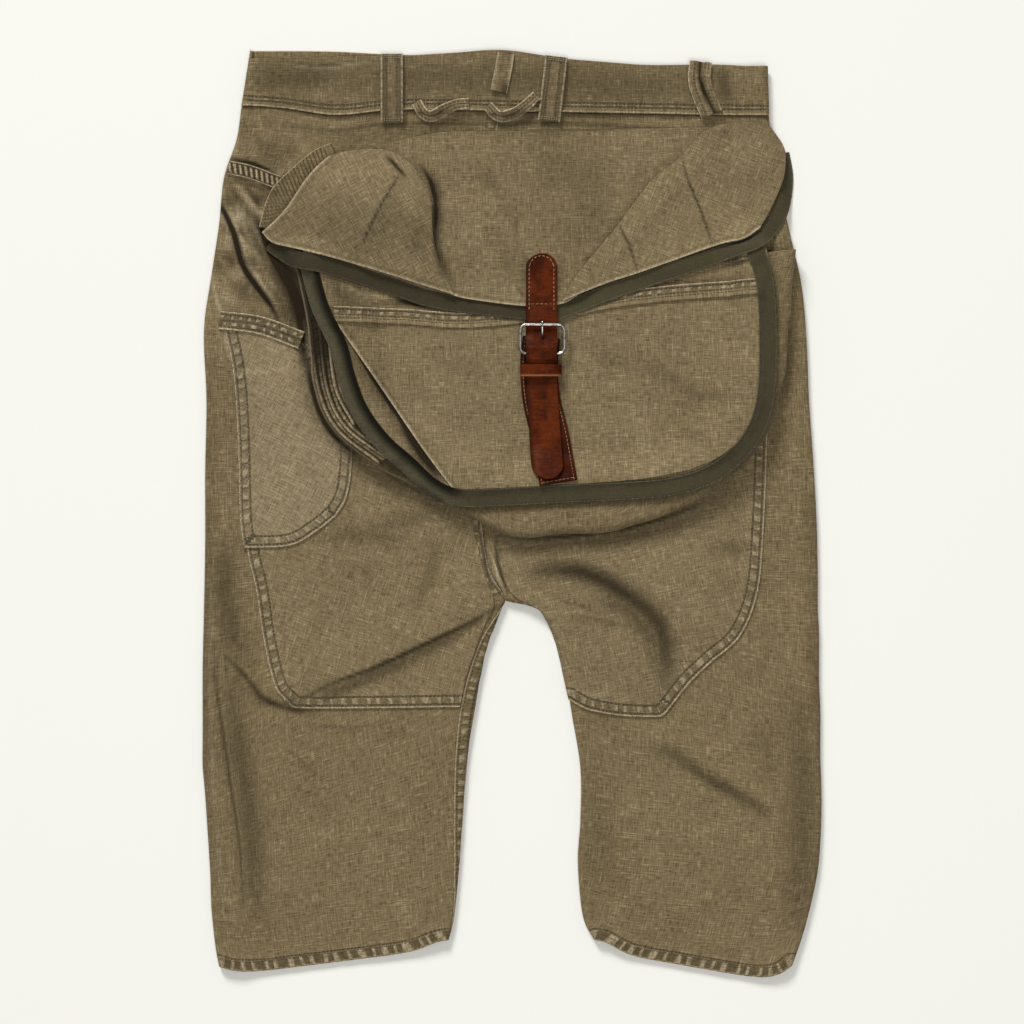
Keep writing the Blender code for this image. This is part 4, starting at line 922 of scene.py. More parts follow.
class LegHalf:
    # All rows of a flattened leg half at once
    def __init__(self, table, sag):
        radius = bodyLook["foldRadius"]
        rows = smoothRows(table, bodyLook["rowStep"])
        # Rows lie closer together in the turned hem
        rows = np.vstack([rows[:-6], smoothRows(rows[-6:], 1.0)])
        self.inner, wrap = rows[:, 2:4], rows[:, 4]
        gap = self.inner - rows[:, 0:2]
        self.length = np.linalg.norm(gap, axis=1)
        self.way = gap / self.length[:, None]
        aside = square(np.gradient(self.inner, axis=0))
        self.inward = aside * np.where((aside * self.way).sum(axis=1) < 0, 1, -1)[:, None]
        low = ramp(self.inner[:, 1], -200, -141)
        self.sag, self.lean = sag[0] * low * low, sag[1]
        close = ramp(self.inner[:, 1], -34, -36)
        self.close = close * close * (3 - 2 * close)
        self.turn = self.close * math.pi / 2
        self.reach = (radius + bodyLook["seamAir"]) * np.sin(self.turn)
        self.arc = midRadius * self.turn
        self.total = arcLength + self.length - radius - self.reach + self.arc
        self.seam = np.where(self.close < 1, 0.0, wrap + np.where(wrap > radius, arcLength - radius, 0))

    def place(self, s, dip):
        t = np.clip(s / self.length[:, None], 0, 1)
        far = (self.length[:, None] - s)[..., None]
        bend = bell(far, 0, bodyLook["turnReach"])
        xy = self.inner[:, None] + far * ((1 - bend) * -self.way[:, None] + bend * self.inward[:, None])
        xy[..., 1] -= self.sag[:, None] * (1 - self.lean * t) * (1 - np.abs(2 * t - 1) ** 6)
        if dip:
            xy[..., 1] += waistDip(xy[..., 0], xy[..., 1])
        return xy

    def top(self, s, xy):
        radius, reach, close = bodyLook["foldRadius"], bodyLook["foldReach"], self.close[:, None]
        flat = bodyLook["wall"] * 1.5 + bodyLook["layerAir"]
        near, far = s - radius, self.length[:, None] - radius - s
        edge = bell(near, 0, reach) + close * bell(far, 0, reach)
        fade = 1 - bell(np.maximum(near, 0), 0, 7)
        fade = fade * (1 - close * bell(np.maximum(far, 0), 0, 7))
        x, y = xy[..., 0], xy[..., 1]
        wrinkle = softNoise(x, y, 26, 3) + 0.6 * softNoise(x, y, 11, 4) + 0.35 * softNoise(x + y, y - x, 7, 5)
        relief = foldSum(xy, bodyFolds) + foldSum(xy, fineFolds) + bodyLook["wrinkles"] * (wrinkle + 0.3)
        rise = radius + midRadius - flat
        return flat + rise * np.minimum(edge, 1) + fade * np.maximum(relief, -0.55)

    def points(self, run, dip):
        # run goes from the outermost line, over the top when positive and below when negative,
        # and past the total it goes round the inner fold
        radius, total, length = bodyLook["foldRadius"], self.total[:, None], self.length[:, None]
        arc, turn, reach = self.arc[:, None], self.turn[:, None], self.reach[:, None]
        upper, size = run >= 0, np.abs(run)
        outer, angle = size < arcLength, size / midRadius
        q = np.where(upper, total - size, size - total)
        rest = np.abs(q)
        inTurn = rest < arc
        innerAngle = math.pi / 2 - turn + rest / midRadius
        sTurn = length - reach + midRadius * np.cos(innerAngle) * (turn > 0)
        sFlat = length - reach - (rest - arc)
        s = np.where(outer, radius - midRadius * np.cos(angle), np.where(inTurn, sTurn, sFlat))
        straight = (~outer) & (~inTurn) & (upper == (q >= 0)) & (size < total - arc)
        s = np.where(straight, radius + size - arcLength, s)
        drop = np.where(inTurn & ~outer, midRadius * (1 - np.sin(innerAngle)), 0.0)
        topS = np.minimum(s, length)
        z = np.where(q >= 0, self.top(topS, self.place(topS, dip)) - drop, bodyLook["wall"] / 2 + drop)
        arcZ = radius + np.where(upper, 1, -1) * midRadius * np.sin(angle)
        return np.dstack([self.place(s, dip), np.where(outer, arcZ, z)])


def panelRuns(start, stop, step, band=0.0):
    # Runs per row between two ends, closer near both and over a band before the stop
    longest = float(np.abs(stop - start).max())
    near = np.array((0.0, 1.0, 2.0, 3.0, 4.2, 5.6))
    sign = np.sign((stop - start).mean())
    share = band / longest
    middle = np.linspace(0, 1 - share, max(8, round(longest / step)))
    if band:
        middle = np.append(middle, np.linspace(1 - share, 1, round(band / 2.8) + 1)[1:])
    a, b = (start + sign * near[-1])[:, None], (stop - sign * near[-1])[:, None]
    near = sign * near[None, :-1]
    return np.hstack([start[:, None] + near, a * (1 - middle) + b * middle, stop[:, None] - near[:, ::-1]])


def makeBody():
    grids, air = {}, bodyLook["seamAir"]
    for side, table in (("Left", leftRows), ("Right", rightRows)):
        half = LegHalf(table, bodyLook["sag" + side])
        start = np.full(len(half.total), bodyLook["outseam"])
        band = bodyLook["inseamBand"] if side == "Left" else 0.0
        runs = {
            "back": panelRuns(start + air, half.total - half.seam - air, bodyLook["columnStep"]),
            "front": -panelRuns(air - start, half.total + half.seam - air, bodyLook["frontStep"], band),
        }
        for part, run in runs.items():
            name = part + side
            grid = grids[name] = half.points(run, part == "back")
            x, y = grid[..., 0], grid[..., 1]
            long = runLengths(grid, 0)[:, grid.shape[1] // 2][:, None]
            cloth = np.dstack([run, np.broadcast_to(long, run.shape)])
            edge, along = edgeFields(grid, ("right", "bottom") if side == "Left" else ("bottom",))
            if name == "backLeft":
                # The centre back seam is folded over to the left as a raised band, which ends at the crotch
                hemEdge, hemAlong = edgeFields(grid, ("bottom",))
                above = ramp(y, -66, 8)
                edge, along = np.where(above > 0, edge, hemEdge), np.where(above > 0, along, hemAlong)
                grid[..., 2] += bodyLook["seamBand"] * above * ramp(edge, 10.5, -1.5)
            if name != "frontRight":
                grid[..., 2] += bodyLook["puckers"] * puckers(edge, along) * turnedUp(grid)
            under = runLengths(grid, 0)[-1:] - runLengths(grid, 0)
            shade, wear = strokeSum(grid, shadeStrokes), strokeSum(grid, wearAndHighlightStrokes)
            if name == "backLeft":
                # The hip is crumpled in short slanting creases, with painted shade in their troughs and
                # painted highlight on their crests
                hip = mound(grid, *bodyLook["hip"])
                creases = softNoise(x * 0.8 + y * 0.6, (y * 0.8 - x * 0.6) * 0.4, 5.0, 61)
                shade = np.maximum(shade, 0.95 * hip * np.clip(-creases, 0, 1))
                wear = np.maximum(wear, 0.6 * hip * np.clip(creases, 0, 1))
                grid[..., 2] += bodyLook["crumples"] * hip * creases * turnedUp(grid)
            makeSheet(name, grid, bodyLook["wall"], "canvas", cloth=cloth, shade=shade, wear=wear,
                      single=np.where(under < bodyLook["hemTurn"], 1.0, 0.0), fields=(edge, along))
    return grids


bodyGrids = makeBody()
print("stage: body made")

# Waistband
waistLook = {"wall": 2.2, "foldRadius": 3.9, "air": 0.5, "rows": (4.4, 7.4), "wave": 0.7}
# Painted shade on the waistband
bandShade = (
    ((-182, 366, -176, 360, -160, 358, -140, 359, -118, 362), 1.3, 0.7),
    ((-206, 330, -160, 326, -110, 328), 5, 0.3),
    ((-206, 346, -100, 346, 0, 346, 100, 340, 205, 338), 17, 0.42),
    ((-214, 350, -172, 347, -120, 350), 13, 0.49), ((-82, 352, -84, 338, -82, 326), 4, 0.35),
    ((18, 364, 22, 345, 20, 330), 4, 0.3), ((166, 358, 170, 344, 172, 330, 176, 322), 8, 0.55),
    ((136, 356, 138, 338, 142, 324), 5, 0.35), ((-110, 364, -106, 345, -108, 322), 4, 0.3),
)
# Pale strokes: painted highlight on the edge of a slight fold below the top, and wear along the top edge
bandWearAndHighlight = (
    ((-176, 358, -160, 356, -140, 357, -112, 361), 1.1, 0.45), ((-200, 372, -100, 368, 0, 372), 1.2, 0.2),
)
# Places along x with the top edge of the back band and of the front one
waistStations = (
    (-196, 363.0, 369.5), (-172, 362.5, 369.5), (-138, 365.0, 369.0), (-100, 365.0, 367.0),
    (-50, 367.5, 366.0), (-8, 370.0, 367.0), (40, 363.5, 361.0), (75, 360.5, 358.0), (111, 358.0, 356.0),
    (160, 358.5, 356.0), (190, 357.0, 355.0),
)
waistLeft, waistRight, waistCenter = (-216, 325, -209), (206, 317, 205), (-10, 321)


def waistLine(x, dip):
    onLeft = x < waistCenter[0]
    t = np.where(onLeft, (x - waistLeft[0]) / (waistCenter[0] - waistLeft[0]),
                 (x - waistRight[0]) / (waistCenter[0] - waistRight[0]))
    side = np.where(onLeft, waistLeft[1], waistRight[1])
    y = side + t * (waistCenter[1] - side)
    return y + (waistDip(x, y) if dip else 0)


def bandGrid(column, back):
    wall, radius = waistLook["wall"], waistLook["foldRadius"]
    middle, sign = radius - wall / 2, 1 if back else -1
    crownLine = smoothRows([(row[0], row[column]) for row in waistStations], 4.0)
    part = endSteps(46, 2.2)[:, None]
    left, right = (end[0] + part * (end[2] - end[0]) for end in (waistLeft, waistRight))
    angles = np.linspace(-0.1 * sign, math.pi / 2 * sign, 7)
    foldX, foldZ = radius - middle * np.cos(angles), radius + middle * np.sin(angles)
    level = wall * 1.5 + bodyLook["layerAir"] if back else wall / 2
    inner = np.linspace(0, 1, 160)[None, 1:-1]
    spanX = left + radius + (right - left - 2 * radius) * inner
    x = np.hstack([left + foldX[None], spanX, right - foldX[None, ::-1]])
    near = np.minimum(spanX - left, right - spanX) - radius
    rise = (radius + middle - level) * bell(near, 0, 14) if back else np.zeros_like(near)
    lowY = waistLine(x, back) + waistLook["air"]
    crown = np.interp(x, crownLine[:, 0], crownLine[:, 1])
    y = lowY + part * (crown - lowY)
    shape = np.ones_like(part)
    z = np.hstack([foldZ[None] * shape, level + rise, foldZ[None, ::-1] * shape])
    if back:
        wave = softNoise(x, y, 34, 21) + 0.5 * softNoise(x, y, 12, 22)
        puck = softNoise(x, y * 0.3, 3.6, 23) * bell(y, lowY, 7)
        z = z + waistLook["wave"] * np.clip(wave + 0.4, 0, 2) + 0.22 * (puck + 0.5)
        z = z + 0.5 * bell(part, 0.02, 0.04)
    return np.dstack([x, y, z])


def makeWaist():
    wall, back = waistLook["wall"], bandGrid(1, True)
    makeSheet("waistbandBack", back[::-1], wall, "band", ("bottom",), shade=strokeSum(back, bandShade)[::-1],
              wear=strokeSum(back, bandWearAndHighlight)[::-1])
    for distance in waistLook["rows"]:
        sewLine(inset(back, "top", distance), wall)
    front = bandGrid(2, False)[::-1]
    middle = int(np.argmin(np.abs(front[-1, :, 0] - waistCenter[0]))) + 1
    makeSheet("waistbandFrontLeft", front[:, :middle], wall, "canvas")
    makeSheet("waistbandFrontRight", front[:, middle:], wall, "canvas")


makeWaist()
print("stage: waistband made")

# Seat patches and hip pocket
patchLook = {
    "wall": 1.2, "step": 2.2, "rows": (2.4, 9.0), "pucker": 0.55, "pocketWear": 0.16,
    "hemHalf": 7.2, "hemRow": 2.2, "hemPucker": 0.5, "hemPeriod": 7.6,
    "yokeHalf": 5.4, "yokePitch": 4.4, "yokeRelief": 0.4, "rungWear": 0.6, "rimWearAndHighlight": 0.5,
    "grains": {"seatPatchLeft": 17.0, "seatPatchRight": -12.0, "hipPocket": 25.0},
}
leftPatch = {
    "top": (-222, 110, -126, 112, -30, 110), "bottom": (-179, -151, -168, -156, -105, -156, -41, -155),
    "left": (-222, 110, -217, 98, -214, 50, -212, -22, -204, -62, -198, -102, -189, -138, -179, -151),
    "right": (-30, 110, -31, 0, -26, -30, -20, -54, -14, -72, -21.5, -90, -29, -110, -36.5, -132, -41,
     -155),
}
rightPatch = {
    "top": (-18, 90, 90, 92, 205, 90),
    "bottom": (46, -149, 54, -154, 64, -158, 87, -162, 115, -163, 122, -161, 128, -154),
    "left": (-18, 90, -19, -6, -13, -40, -4, -58, 3, -67, 15, -73, 26, -82, 36, -106, 46, -149),
    "right": (205, 90, 204, 50, 202, -6, 197, -62, 183, -98, 160, -119, 143, -135, 128, -154),
}
hipPocket = {
    "top": (-229, 147, -201, 150, -168, 140), "bottom": (-214, -28, -177, -26, -155, -14, -140, -2),
    "left": (-229, 147, -222, 112, -218.5, 60, -217, 0, -214, -28),
    "right": (-168, 140, -150, 118, -136, 92, -128, 66, -128, 34, -132, 12, -140, -2),
}
hipHem = (-233, 154, -201, 150, -168, 138)
sideYoke = (-226, 276, -208, 272, -186, 264)


def makePatches():
    wall = patchLook["wall"]
    for name, edges, sewn, soften, wear in (
        ("seatPatchLeft", leftPatch, ("left", "bottom"), 1, 0.0),
        ("seatPatchRight", rightPatch, ("bottom", "right"), 1, 0.0),
        ("hipPocket", hipPocket, ("left", "bottom", "right"), 2, patchLook["pocketWear"]),
    ):
        layPiece(name, coonsGrid(edges, patchLook["step"]), wall, "overlay", soften, sides=sewn,
                 rows=patchLook["rows"], pucker=patchLook["pucker"], strokes=shadeStrokes, wear=wear,
                 grain=patchLook["grains"][name])
    flat = turned(stripGrid(hipHem, patchLook["hemHalf"], 1.6))
    layPiece("hipPocketHem", flat, wall, "hem", 2, sides=("top", "bottom"), rows=(patchLook["hemRow"],),
             pucker=patchLook["hemPucker"], period=patchLook["hemPeriod"])
    # Ladder stitches lean across the yoke band between its raised edges, which are painted pale as wear and
    # highlight; the band between the raised rungs is painted dark as shade
    yoke, relief = stripGrid(sideYoke, patchLook["yokeHalf"], 1.0, 0.5), patchLook["yokeRelief"]
    run, aside = runLengths(yoke, 0), across(yoke)
    wave = np.sin(2 * math.pi * (run / patchLook["yokePitch"] + aside * 0.5))
    rungs = np.clip(wave * 1.4, 0, 1) * (np.abs(aside) < 0.66)
    rims = ramp(np.abs(aside), 0.72, 0.15)
    yoke, rungs, rims = turned(yoke), turned(rungs), turned(rims)
    layPiece("sideYoke", yoke, wall, "overlay", 2, extra=relief * rungs + relief * rims,
             shade=np.clip(0.85 - rungs - rims, 0, 1),
             wear=patchLook["rungWear"] * rungs + patchLook["rimWearAndHighlight"] * rims)


makePatches()
print("stage: patches made")

# Belt loops, hanger and tie tabs
trimLook = {
    "wall": 1.8, "loopWidth": 17.0, "crown": 8.2, "bow": 2.2, "hangerHalf": 6.5, "tabHalf": 4.0, "curl": 2.6,
    "loopRow": 4.4, "bartackRows": (1.6, 3.0), "twistedRow": 2.0, "tabRow": 1.6,
    "loopRim": 0.55, "loopShade": (0.26, 0.3), "slit": 1.4, "lobes": (2.4, 2.8), "lobeBase": 1.2,
    "hangerCrown": 2.2, "hangerShade": 0.9,
}
beltLoops = {"Left": (-95.5, 366.5, -95.5, 339, -95.5, 312), "Center": (36, 364.5, 33, 339, 30, 313)}
twistedLoop = (151, 360, 150, 346, 154, 332, 160, 318)
hangerLine = (-4, 367, -7, 350, -10, 336)
tieTabs = {
    "Left": (-76, 328, -70, 319, -63, 317, -54, 322, -44, 326, -34, 327),
    "Right": (-19, 325, -10, 317, 2, 319, 12, 326, 20, 333),
}


def makeTrims():
    wall, half, sides = trimLook["wall"], trimLook["loopWidth"] / 2, ("left", "right")
    for name, line in beltLoops.items():
        flat = stripGrid(line, half, 1.6)
        bow = trimLook["crown"] - trimLook["bow"] * ((flat[..., 1] - line[3]) / (line[1] - line[3])) ** 2
        aside = np.abs(across(flat))
        base, more = trimLook["loopShade"]
        grid = layPiece("beltLoop" + name, flat, wall, "trim", 1, loft=bow, sides=sides,
                        rows=(trimLook["loopRow"],), pucker=0.0,
                        extra=trimLook["loopRim"] * bell(aside, 0.82, 0.16),
                        shade=base + more * bell(aside, 0.55, 0.2))
        for side in ("top", "bottom"):
            for distance in trimLook["bartackRows"]:
                sewLine(inset(grid, side, distance, 2), wall + 0.4, "paleThread", **bartackLook)
    # The right loop is folded on itself along its run: two lobes with a slit between
    flat = stripGrid(twistedLoop, half, 1.4)
    aside, run = across(flat), down(flat)
    slit = -trimLook["slit"] * bell(aside, 0.1 + 0.3 * (run - 0.5), 0.16)
    low, high = trimLook["lobes"]
    lobes = low * bell(aside, -0.45, 0.3) + high * bell(aside, 0.6, 0.28)
    shape = lobes * np.sin(np.pi * np.clip(run * 0.9 + 0.05, 0, 1)) + trimLook["lobeBase"] + slit
    layPiece("beltLoopRight", flat, wall, "trim", 1, sides=sides, rows=(trimLook["twistedRow"],),
             pucker=0.2, extra=np.maximum(shape, 0), shade=np.clip(-slit * 1.3, 0, 1))
    flat = stripGrid(hangerLine, trimLook["hangerHalf"], 1.4)
    aside = across(flat)
    shade = trimLook["hangerShade"] * bell(aside, 0.45, 0.4) * ramp(down(flat), 0.55, 0.25)
    layPiece("hangerStrip", flat, wall, "overlay", 1, extra=trimLook["hangerCrown"] * bell(aside, -0.5, 0.45),
             shade=shade, folded=sides)
    for name, line in tieTabs.items():
        flat = stripGrid(line, trimLook["tabHalf"], 1.2)
        aside = across(flat)
        curl = trimLook["curl"] * np.sin(np.pi * down(flat)) ** 2 * (1 + 0.6 * aside) + 0.5 * (1 - aside ** 2)
        layPiece("tieTab" + name, flat, wall, "trim", 1, sides=sides, rows=(trimLook["tabRow"],),
                 pucker=0.0, extra=curl)


makeTrims()
print("stage: trims made")

# Seat bag: gusset with pleats, front, outer pocket, hems and binding
bagLook = {
    "wall": 1.2, "tape": 1.1, "step": 2.6, "gussetStep": 4.0, "gussetInside": -9.0, "pleatWall": 1.3,
    "pleatWidth": 17.0, "pleatGap": 7.0, "slack": 0.7, "frontWrinkle": 0.45, "pocketWrinkle": 0.5,
    "tapeHalf": 7.0, "hemHalf": {"bagFrontHem": 4.6, "bagPocketHem": 6.2}, "hemRows": (2.2, 8.6),
    "tapeRow": 1.6, "tapeThread": 0.45, "tapeSewn": -30,         # the tape's stitches show right of this x
    "pleatCrest": 1.2, "wellShade": 0.72, "foldWearAndHighlight": 0.55, "tapeShadow": 0.5,
}
bagFront = {
    "top": (-168, 214, -60, 240, 80, 244, 199, 226),
    "bottom": (-49, 8, -20, 6, 39, 10, 103, 13, 150, 20, 166, 26),
    "left": (-168, 214, -149, 170, -136, 120, -124, 78, -98, 46, -49, 8),
    "right": (199, 226, 208, 180, 211, 130, 208, 90, 196, 56, 166, 26),
}
bagPocket = {
    "top": (-140, 152, -89, 151, -33, 148, 39, 156, 87, 166, 143, 172, 196, 175),
    "bottom": (-46, 18, 39, 22, 103, 27, 140, 34), "left": (-140, 152, -104, 100, -70, 50, -46, 18),
    "right": (196, 175, 197, 100, 187, 66, 167, 46, 140, 34),
}
bindingLine = (
    -162, 200, -152, 164, -138, 134, -131, 108, -121, 82, -104, 58, -82, 38, -62, 20, -40, 12, 0, 13, 39,
    15, 100, 18, 128, 21, 155, 29, 174, 42, 189, 58, 199, 80, 203, 110, 203, 156, 200, 188, 192, 212,
)
pocketHem = (-141, 158, -89, 157, -33, 154, 39, 162, 87, 171, 143, 177, 196, 180)
frontHem = (70, 186, 110, 194, 150, 201, 196, 207)
# Fold line x and y, inner edge x and y, and the height of the gusset's fold
gussetRows = (
    (-180, 214, -150, 206, 8.0), (-171, 190, -139, 182, 8.0), (-163, 150, -128, 142, 8.5),
    (-157, 100, -120, 98, 8.5), (-142, 66, -108, 74, 8.5), (-108, 38, -84, 54, 8.5),
    (-58, 12, -44, 30, 9.5), (-2, -18, -2, 14, 11.5), (39, -17, 39, 16, 11.5), (87, -13, 90, 18, 11.5),
    (140, 6, 132, 26, 11.5), (176, 30, 160, 42, 11.5), (204, 64, 186, 72, 11.5),
    (218, 112, 196, 112, 12.5), (221, 150, 198, 150, 12.5), (224, 182, 198, 182, 12.5),
    (226, 210, 196, 206, 11.5),
)
frontShade = (
    ((-146, 168, -136, 152, -122, 128, -108, 104, -88, 74, -66, 42, -52, 24), 2.6, 1.5),
    ((-92, 78, -80, 60, -66, 40, -52, 23), 5.5, 1.2),
    ((-146, 168, -136, 152, -122, 128, -108, 104, -88, 74, -66, 42, -52, 24), 9, 0.6),
    ((-98, 172, -84, 168.5, -66, 166, -48, 164), 2.6, 1.4),
    ((-141, 168, -89, 167, -33, 164, 39, 171, 87, 180, 143, 185, 196, 188), 2.2, 0.9),
    ((-100, 178, -50, 168, -12, 160), 4, 0.6), ((60, 172, 100, 186, 150, 200, 200, 214), 4.5, 0.6),
    ((-148, 190, -130, 168, -118, 150), 8, 0.5),
)
pocketFolds = (
    ((70, 130, 110, 118, 150, 96), 12, 10, 1.8), ((120, 96, 150, 92, 190, 96), 8, 8, 1.4),
    ((-100, 140, -60, 96, -20, 60), 14, 14, 1.6), ((60, 70, 100, 60, 150, 64), 12, 12, 1.2),
    ((-20, 140, -6, 90, 0, 40), 12, 12, 1.4),
)
pocketShade = (
    ((104, 122, 122, 112, 140, 98, 156, 94, 190, 94), 6, 0.32), ((130, 66, 146, 62, 160, 60), 6, 0.26),
    ((60, 128, 90, 126, 112, 118), 7, 0.2), ((-70, 132, -40, 116, -10, 110), 9, 0.16),
    ((38, 140, 40, 100, 46, 50), 5, 0.3), ((8, 140, 10, 100, 14, 60), 5, 0.25),
)


def gussetGrid():
    rows = smoothRows(gussetRows, bagLook["gussetStep"])
    fold, edge, height = rows[:, 0:2], rows[:, 2:4], rows[:, 4]
    width = np.linalg.norm(fold - edge, axis=1)
    way = (fold - edge) / width[:, None]
    radius = (height / 2)[:, None]
    tangent = width[:, None] - radius - bagLook["wall"] / 2
    part = np.linspace(0, 1, 9)[None, :]
    s = bagLook["gussetInside"] * (1 - part) + tangent * part
    xy = edge[:, None] + way[:, None] * s[..., None]
    low = heap.drape(xy[..., 0], xy[..., 1], bagLook["wall"], 14, 2)
    low = spread(low + (low.max(axis=1, keepdims=True) - low) * 0.5, 6)
    angles = np.linspace(-math.pi / 2, math.pi / 2, 9)[None, 1:-1]
    roundS = tangent + radius * np.cos(angles)
    roundZ = low[:, -1:] + radius * (1 + np.sin(angles))
    upS = tangent * (1 - part) + bagLook["gussetInside"] * part
    upZ = (low[:, -1] + height)[:, None] + 0.4 * np.sin(np.pi * part) - 1.0 * part ** 3
    along = np.arange(len(rows))[:, None] * bagLook["gussetStep"]
    slack = softNoise(along + 0 * upS, upS * 1.5, 16, 31) + 0.6 * softNoise(along + 0 * upS, upS, 7, 32)
    upZ = upZ + bagLook["slack"] * (slack + 0.4) * np.clip(part * 6, 0, 1)
    roundS = roundS + 0.8 * softNoise(along + 0 * roundS, 0 * roundS, 13, 33) * np.cos(angles)
    section = np.hstack([s, roundS, upS])
    return np.dstack([edge[:, None] + way[:, None] * section[..., None], np.hstack([low, roundZ, upZ])])


def makePleat(number, rows):
    base = smoothRows([row[:4] for row in rows], 2.4)
    fold, edge = base[:, 0:2], base[:, 2:4]
    way = unit(fold - edge)
    parts = np.linspace(0, 1, 23)
    start = fold - way * (2.5 + bagLook["pleatGap"] * number)
    flat = start[:, None] - way[:, None] * (bagLook["pleatWidth"] * parts)[None, :, None]
    run = down(flat)
    # Each pleat shows two soft folds; the pleat is painted dark as shade in the well, and the crests are
    # painted pale as wear and highlight
    crests = bell(parts, 0.06, 0.05) + 0.8 * bell(parts, 0.30, 0.05)
    swell = 0.5 + 0.5 * np.sin(np.pi * np.clip(run + 0.1, 0, 1))
    lift = (bagLook["pleatCrest"] * crests[None] + 0.3) * swell
    low = ramp(run, 0.45, 0.3)
    dark = np.clip(1 - crests[None] * (0.3 + 1.1 * low), 0, 1) * (1.25 - 0.4 * low)
    pale = np.clip(crests * 1.3 - 0.8, 0, 1)[None] * (0.5 - 0.16 * number) * (0.3 + 0.9 * low)
    layPiece(f"gussetPleat{number + 1}", flat, bagLook["pleatWall"], "canvas", 4, sides=("left",),
             pucker=0.2, extra=lift, shade=dark, wear=pale)


def makeBag():
    wall, step, grid = bagLook["wall"], bagLook["step"], gussetGrid()
    wide, long = runLengths(grid, 1), runLengths(grid, 0)[:, 12:13]
    # The left side is painted dark as shade in the well behind the fold, and the fold's crest is painted pale
    # as wear and highlight; a painted shadow runs beside the binding
    fromFold = wide - wide[:, 12:13]
    well = ramp(grid[..., 0], -52, -16)
    tape = lineFields(grid[..., :2], curveAt(bindingLine, np.linspace(0, 1, 80)))[0]
    beside = bell(np.maximum(tape - bagLook["tapeHalf"], 0), 0, 4.0)
    shade = np.maximum(bagLook["wellShade"] * well * ramp(fromFold, 2.0, 2.5), bagLook["tapeShadow"] * beside)
    cloth = np.dstack([wide, np.broadcast_to(long, wide.shape)])
    makeSheet("bagGusset", grid, wall, "canvas", cloth=cloth, shade=shade,
              wear=bagLook["foldWearAndHighlight"] * well * bell(fromFold, 0, 1.5))
    for number, count in enumerate((6, 6, 5)):
        makePleat(number, gussetRows[:count])
    layPiece("bagFront", coonsGrid(bagFront, step), wall, "overlay", 60, 2, wrinkle=bagLook["frontWrinkle"],
             strokes=frontShade)
    layPiece("bagPocket", coonsGrid(bagPocket, step), wall, "overlay", 20, wrinkle=bagLook["pocketWrinkle"],
             folds=pocketFolds, strokes=pocketShade, folded=("left",))
    for name, line in (("bagFrontHem", frontHem), ("bagPocketHem", pocketHem)):
        flat = turned(stripGrid(line, bagLook["hemHalf"][name], 1.8))
        layPiece(name, flat, wall, "pocketHem", sides=("top",), rows=bagLook["hemRows"], pucker=0.4)
    flat = stripGrid(bindingLine, bagLook["tapeHalf"], 2.0)
    x, y = flat[..., 0], flat[..., 1]
    # The left part of the tape lies in shade: painted shade, strongest on its inner side, with its outer side
    # a little paler
    inShade = ramp(x, -34, -14) * ramp(y, 204, -10)
    inward = 1.1 * ramp(across(flat, 0), 0.42, 0.3)
    ripple = 0.12 * np.clip(softNoise(x + y, x - y, 6, 41), 0, 1)
    grid = layPiece("bagBinding", flat, bagLook["tape"], "binding", 8, sides=("left", "right"), pucker=0.2,
                    shade=np.maximum(inShade * inward, ripple),
                    wear=0.14 * inShade * (1 - np.clip(inward, 0, 1)))
    for side in ("left", "right"):
        line = inset(grid, side, bagLook["tapeRow"])
        line = line[line[:, 0] > bagLook["tapeSewn"]]
        sewLine(line, bagLook["tape"], "tapeThread", width=bagLook["tapeThread"])


makeBag()
print("stage: bag made")

# Flap with its wings, edge strip and binding
flapLook = {
    "wall": 1.2, "tape": 1.1, "tapeHalf": 6.5, "step": 2.4, "stripHalf": 10.5, "ribPitch": 3.3,
    "wingLevel": 9, "wingCrown": 17, "wrinkle": 0.6, "wrinkleRight": 0.5, "grainLeft": -28, "grainRight": 20,
    "soften": {"tape": 14, "middle": 70, "wing": 40}, "rib": 0.8, "rim": 0.6, "rimWearAndHighlight": 0.7,
    "wingPuff": (-118, 44, 244, 34),             # middle and half width along x and y
    "tapeShade": {"Left": 0.3, "Right": 0.0},
}
flapMiddle = {
    "top": (-122, 290, -57, 304, 7, 305, 87, 307, 168, 308),
    "bottom": (-58, 179, -46, 173.5, -30, 170, 11, 165, 39, 166.5, 52, 173),
    "left": (-122, 290, -96, 250, -76, 210, -58, 179), "right": (168, 308, 140, 270, 92, 218, 52, 173),
}
wingLeft = {
    "top": (-146, 284, -132, 288, -108, 290, -92, 286.5, -79, 277),
    "bottom": (-199, 224, -193.5, 217.5, -185, 213.5, -156, 206, -124, 198, -97, 190, -46, 174),
    "left": (-146, 284, -156, 275, -165.5, 263.5, -177, 246.5, -186, 236, -199, 224),
    "right": (-79, 277, -65, 253, -63, 226, -58, 202, -46, 174),
}
edgeStrip = (-140.5, 286, -151.5, 281.5, -162, 273.5, -179.5, 257, -186.5, 245, -191.5, 226)
wingRight = {
    "top": (152, 304, 168, 310, 190, 312, 207, 308),
    "bottom": (41, 169, 75, 183, 103, 192, 162, 213, 184, 218, 198, 227),
    "left": (152, 304, 132, 282, 112, 266, 84, 229, 52, 190, 41, 169),
    "right": (207, 308, 217, 294, 219, 281, 216, 264, 207, 243, 198, 227),
}
flapTapes = {
    "Left": (-193, 216, -184, 209, -169, 201, -142, 195, -96, 181, -57, 169, 14, 160),
    "Right": (33, 159, 44, 163, 75, 175, 118, 190, 171, 208, 194, 216, 208, 229, 216, 246, 219, 268, 216,
     288),
}
flapFolds = (
    ((-36, 290, -14, 262, 6, 232), 10, 10, 1.6), ((-24, 236, -8, 210, 4, 184), 9, 9, 1.4),
    ((40, 300, 60, 260, 50, 200), 16, 16, 1.6), ((-60, 300, -52, 250, -56, 200), 8, 8, 1.8),
)
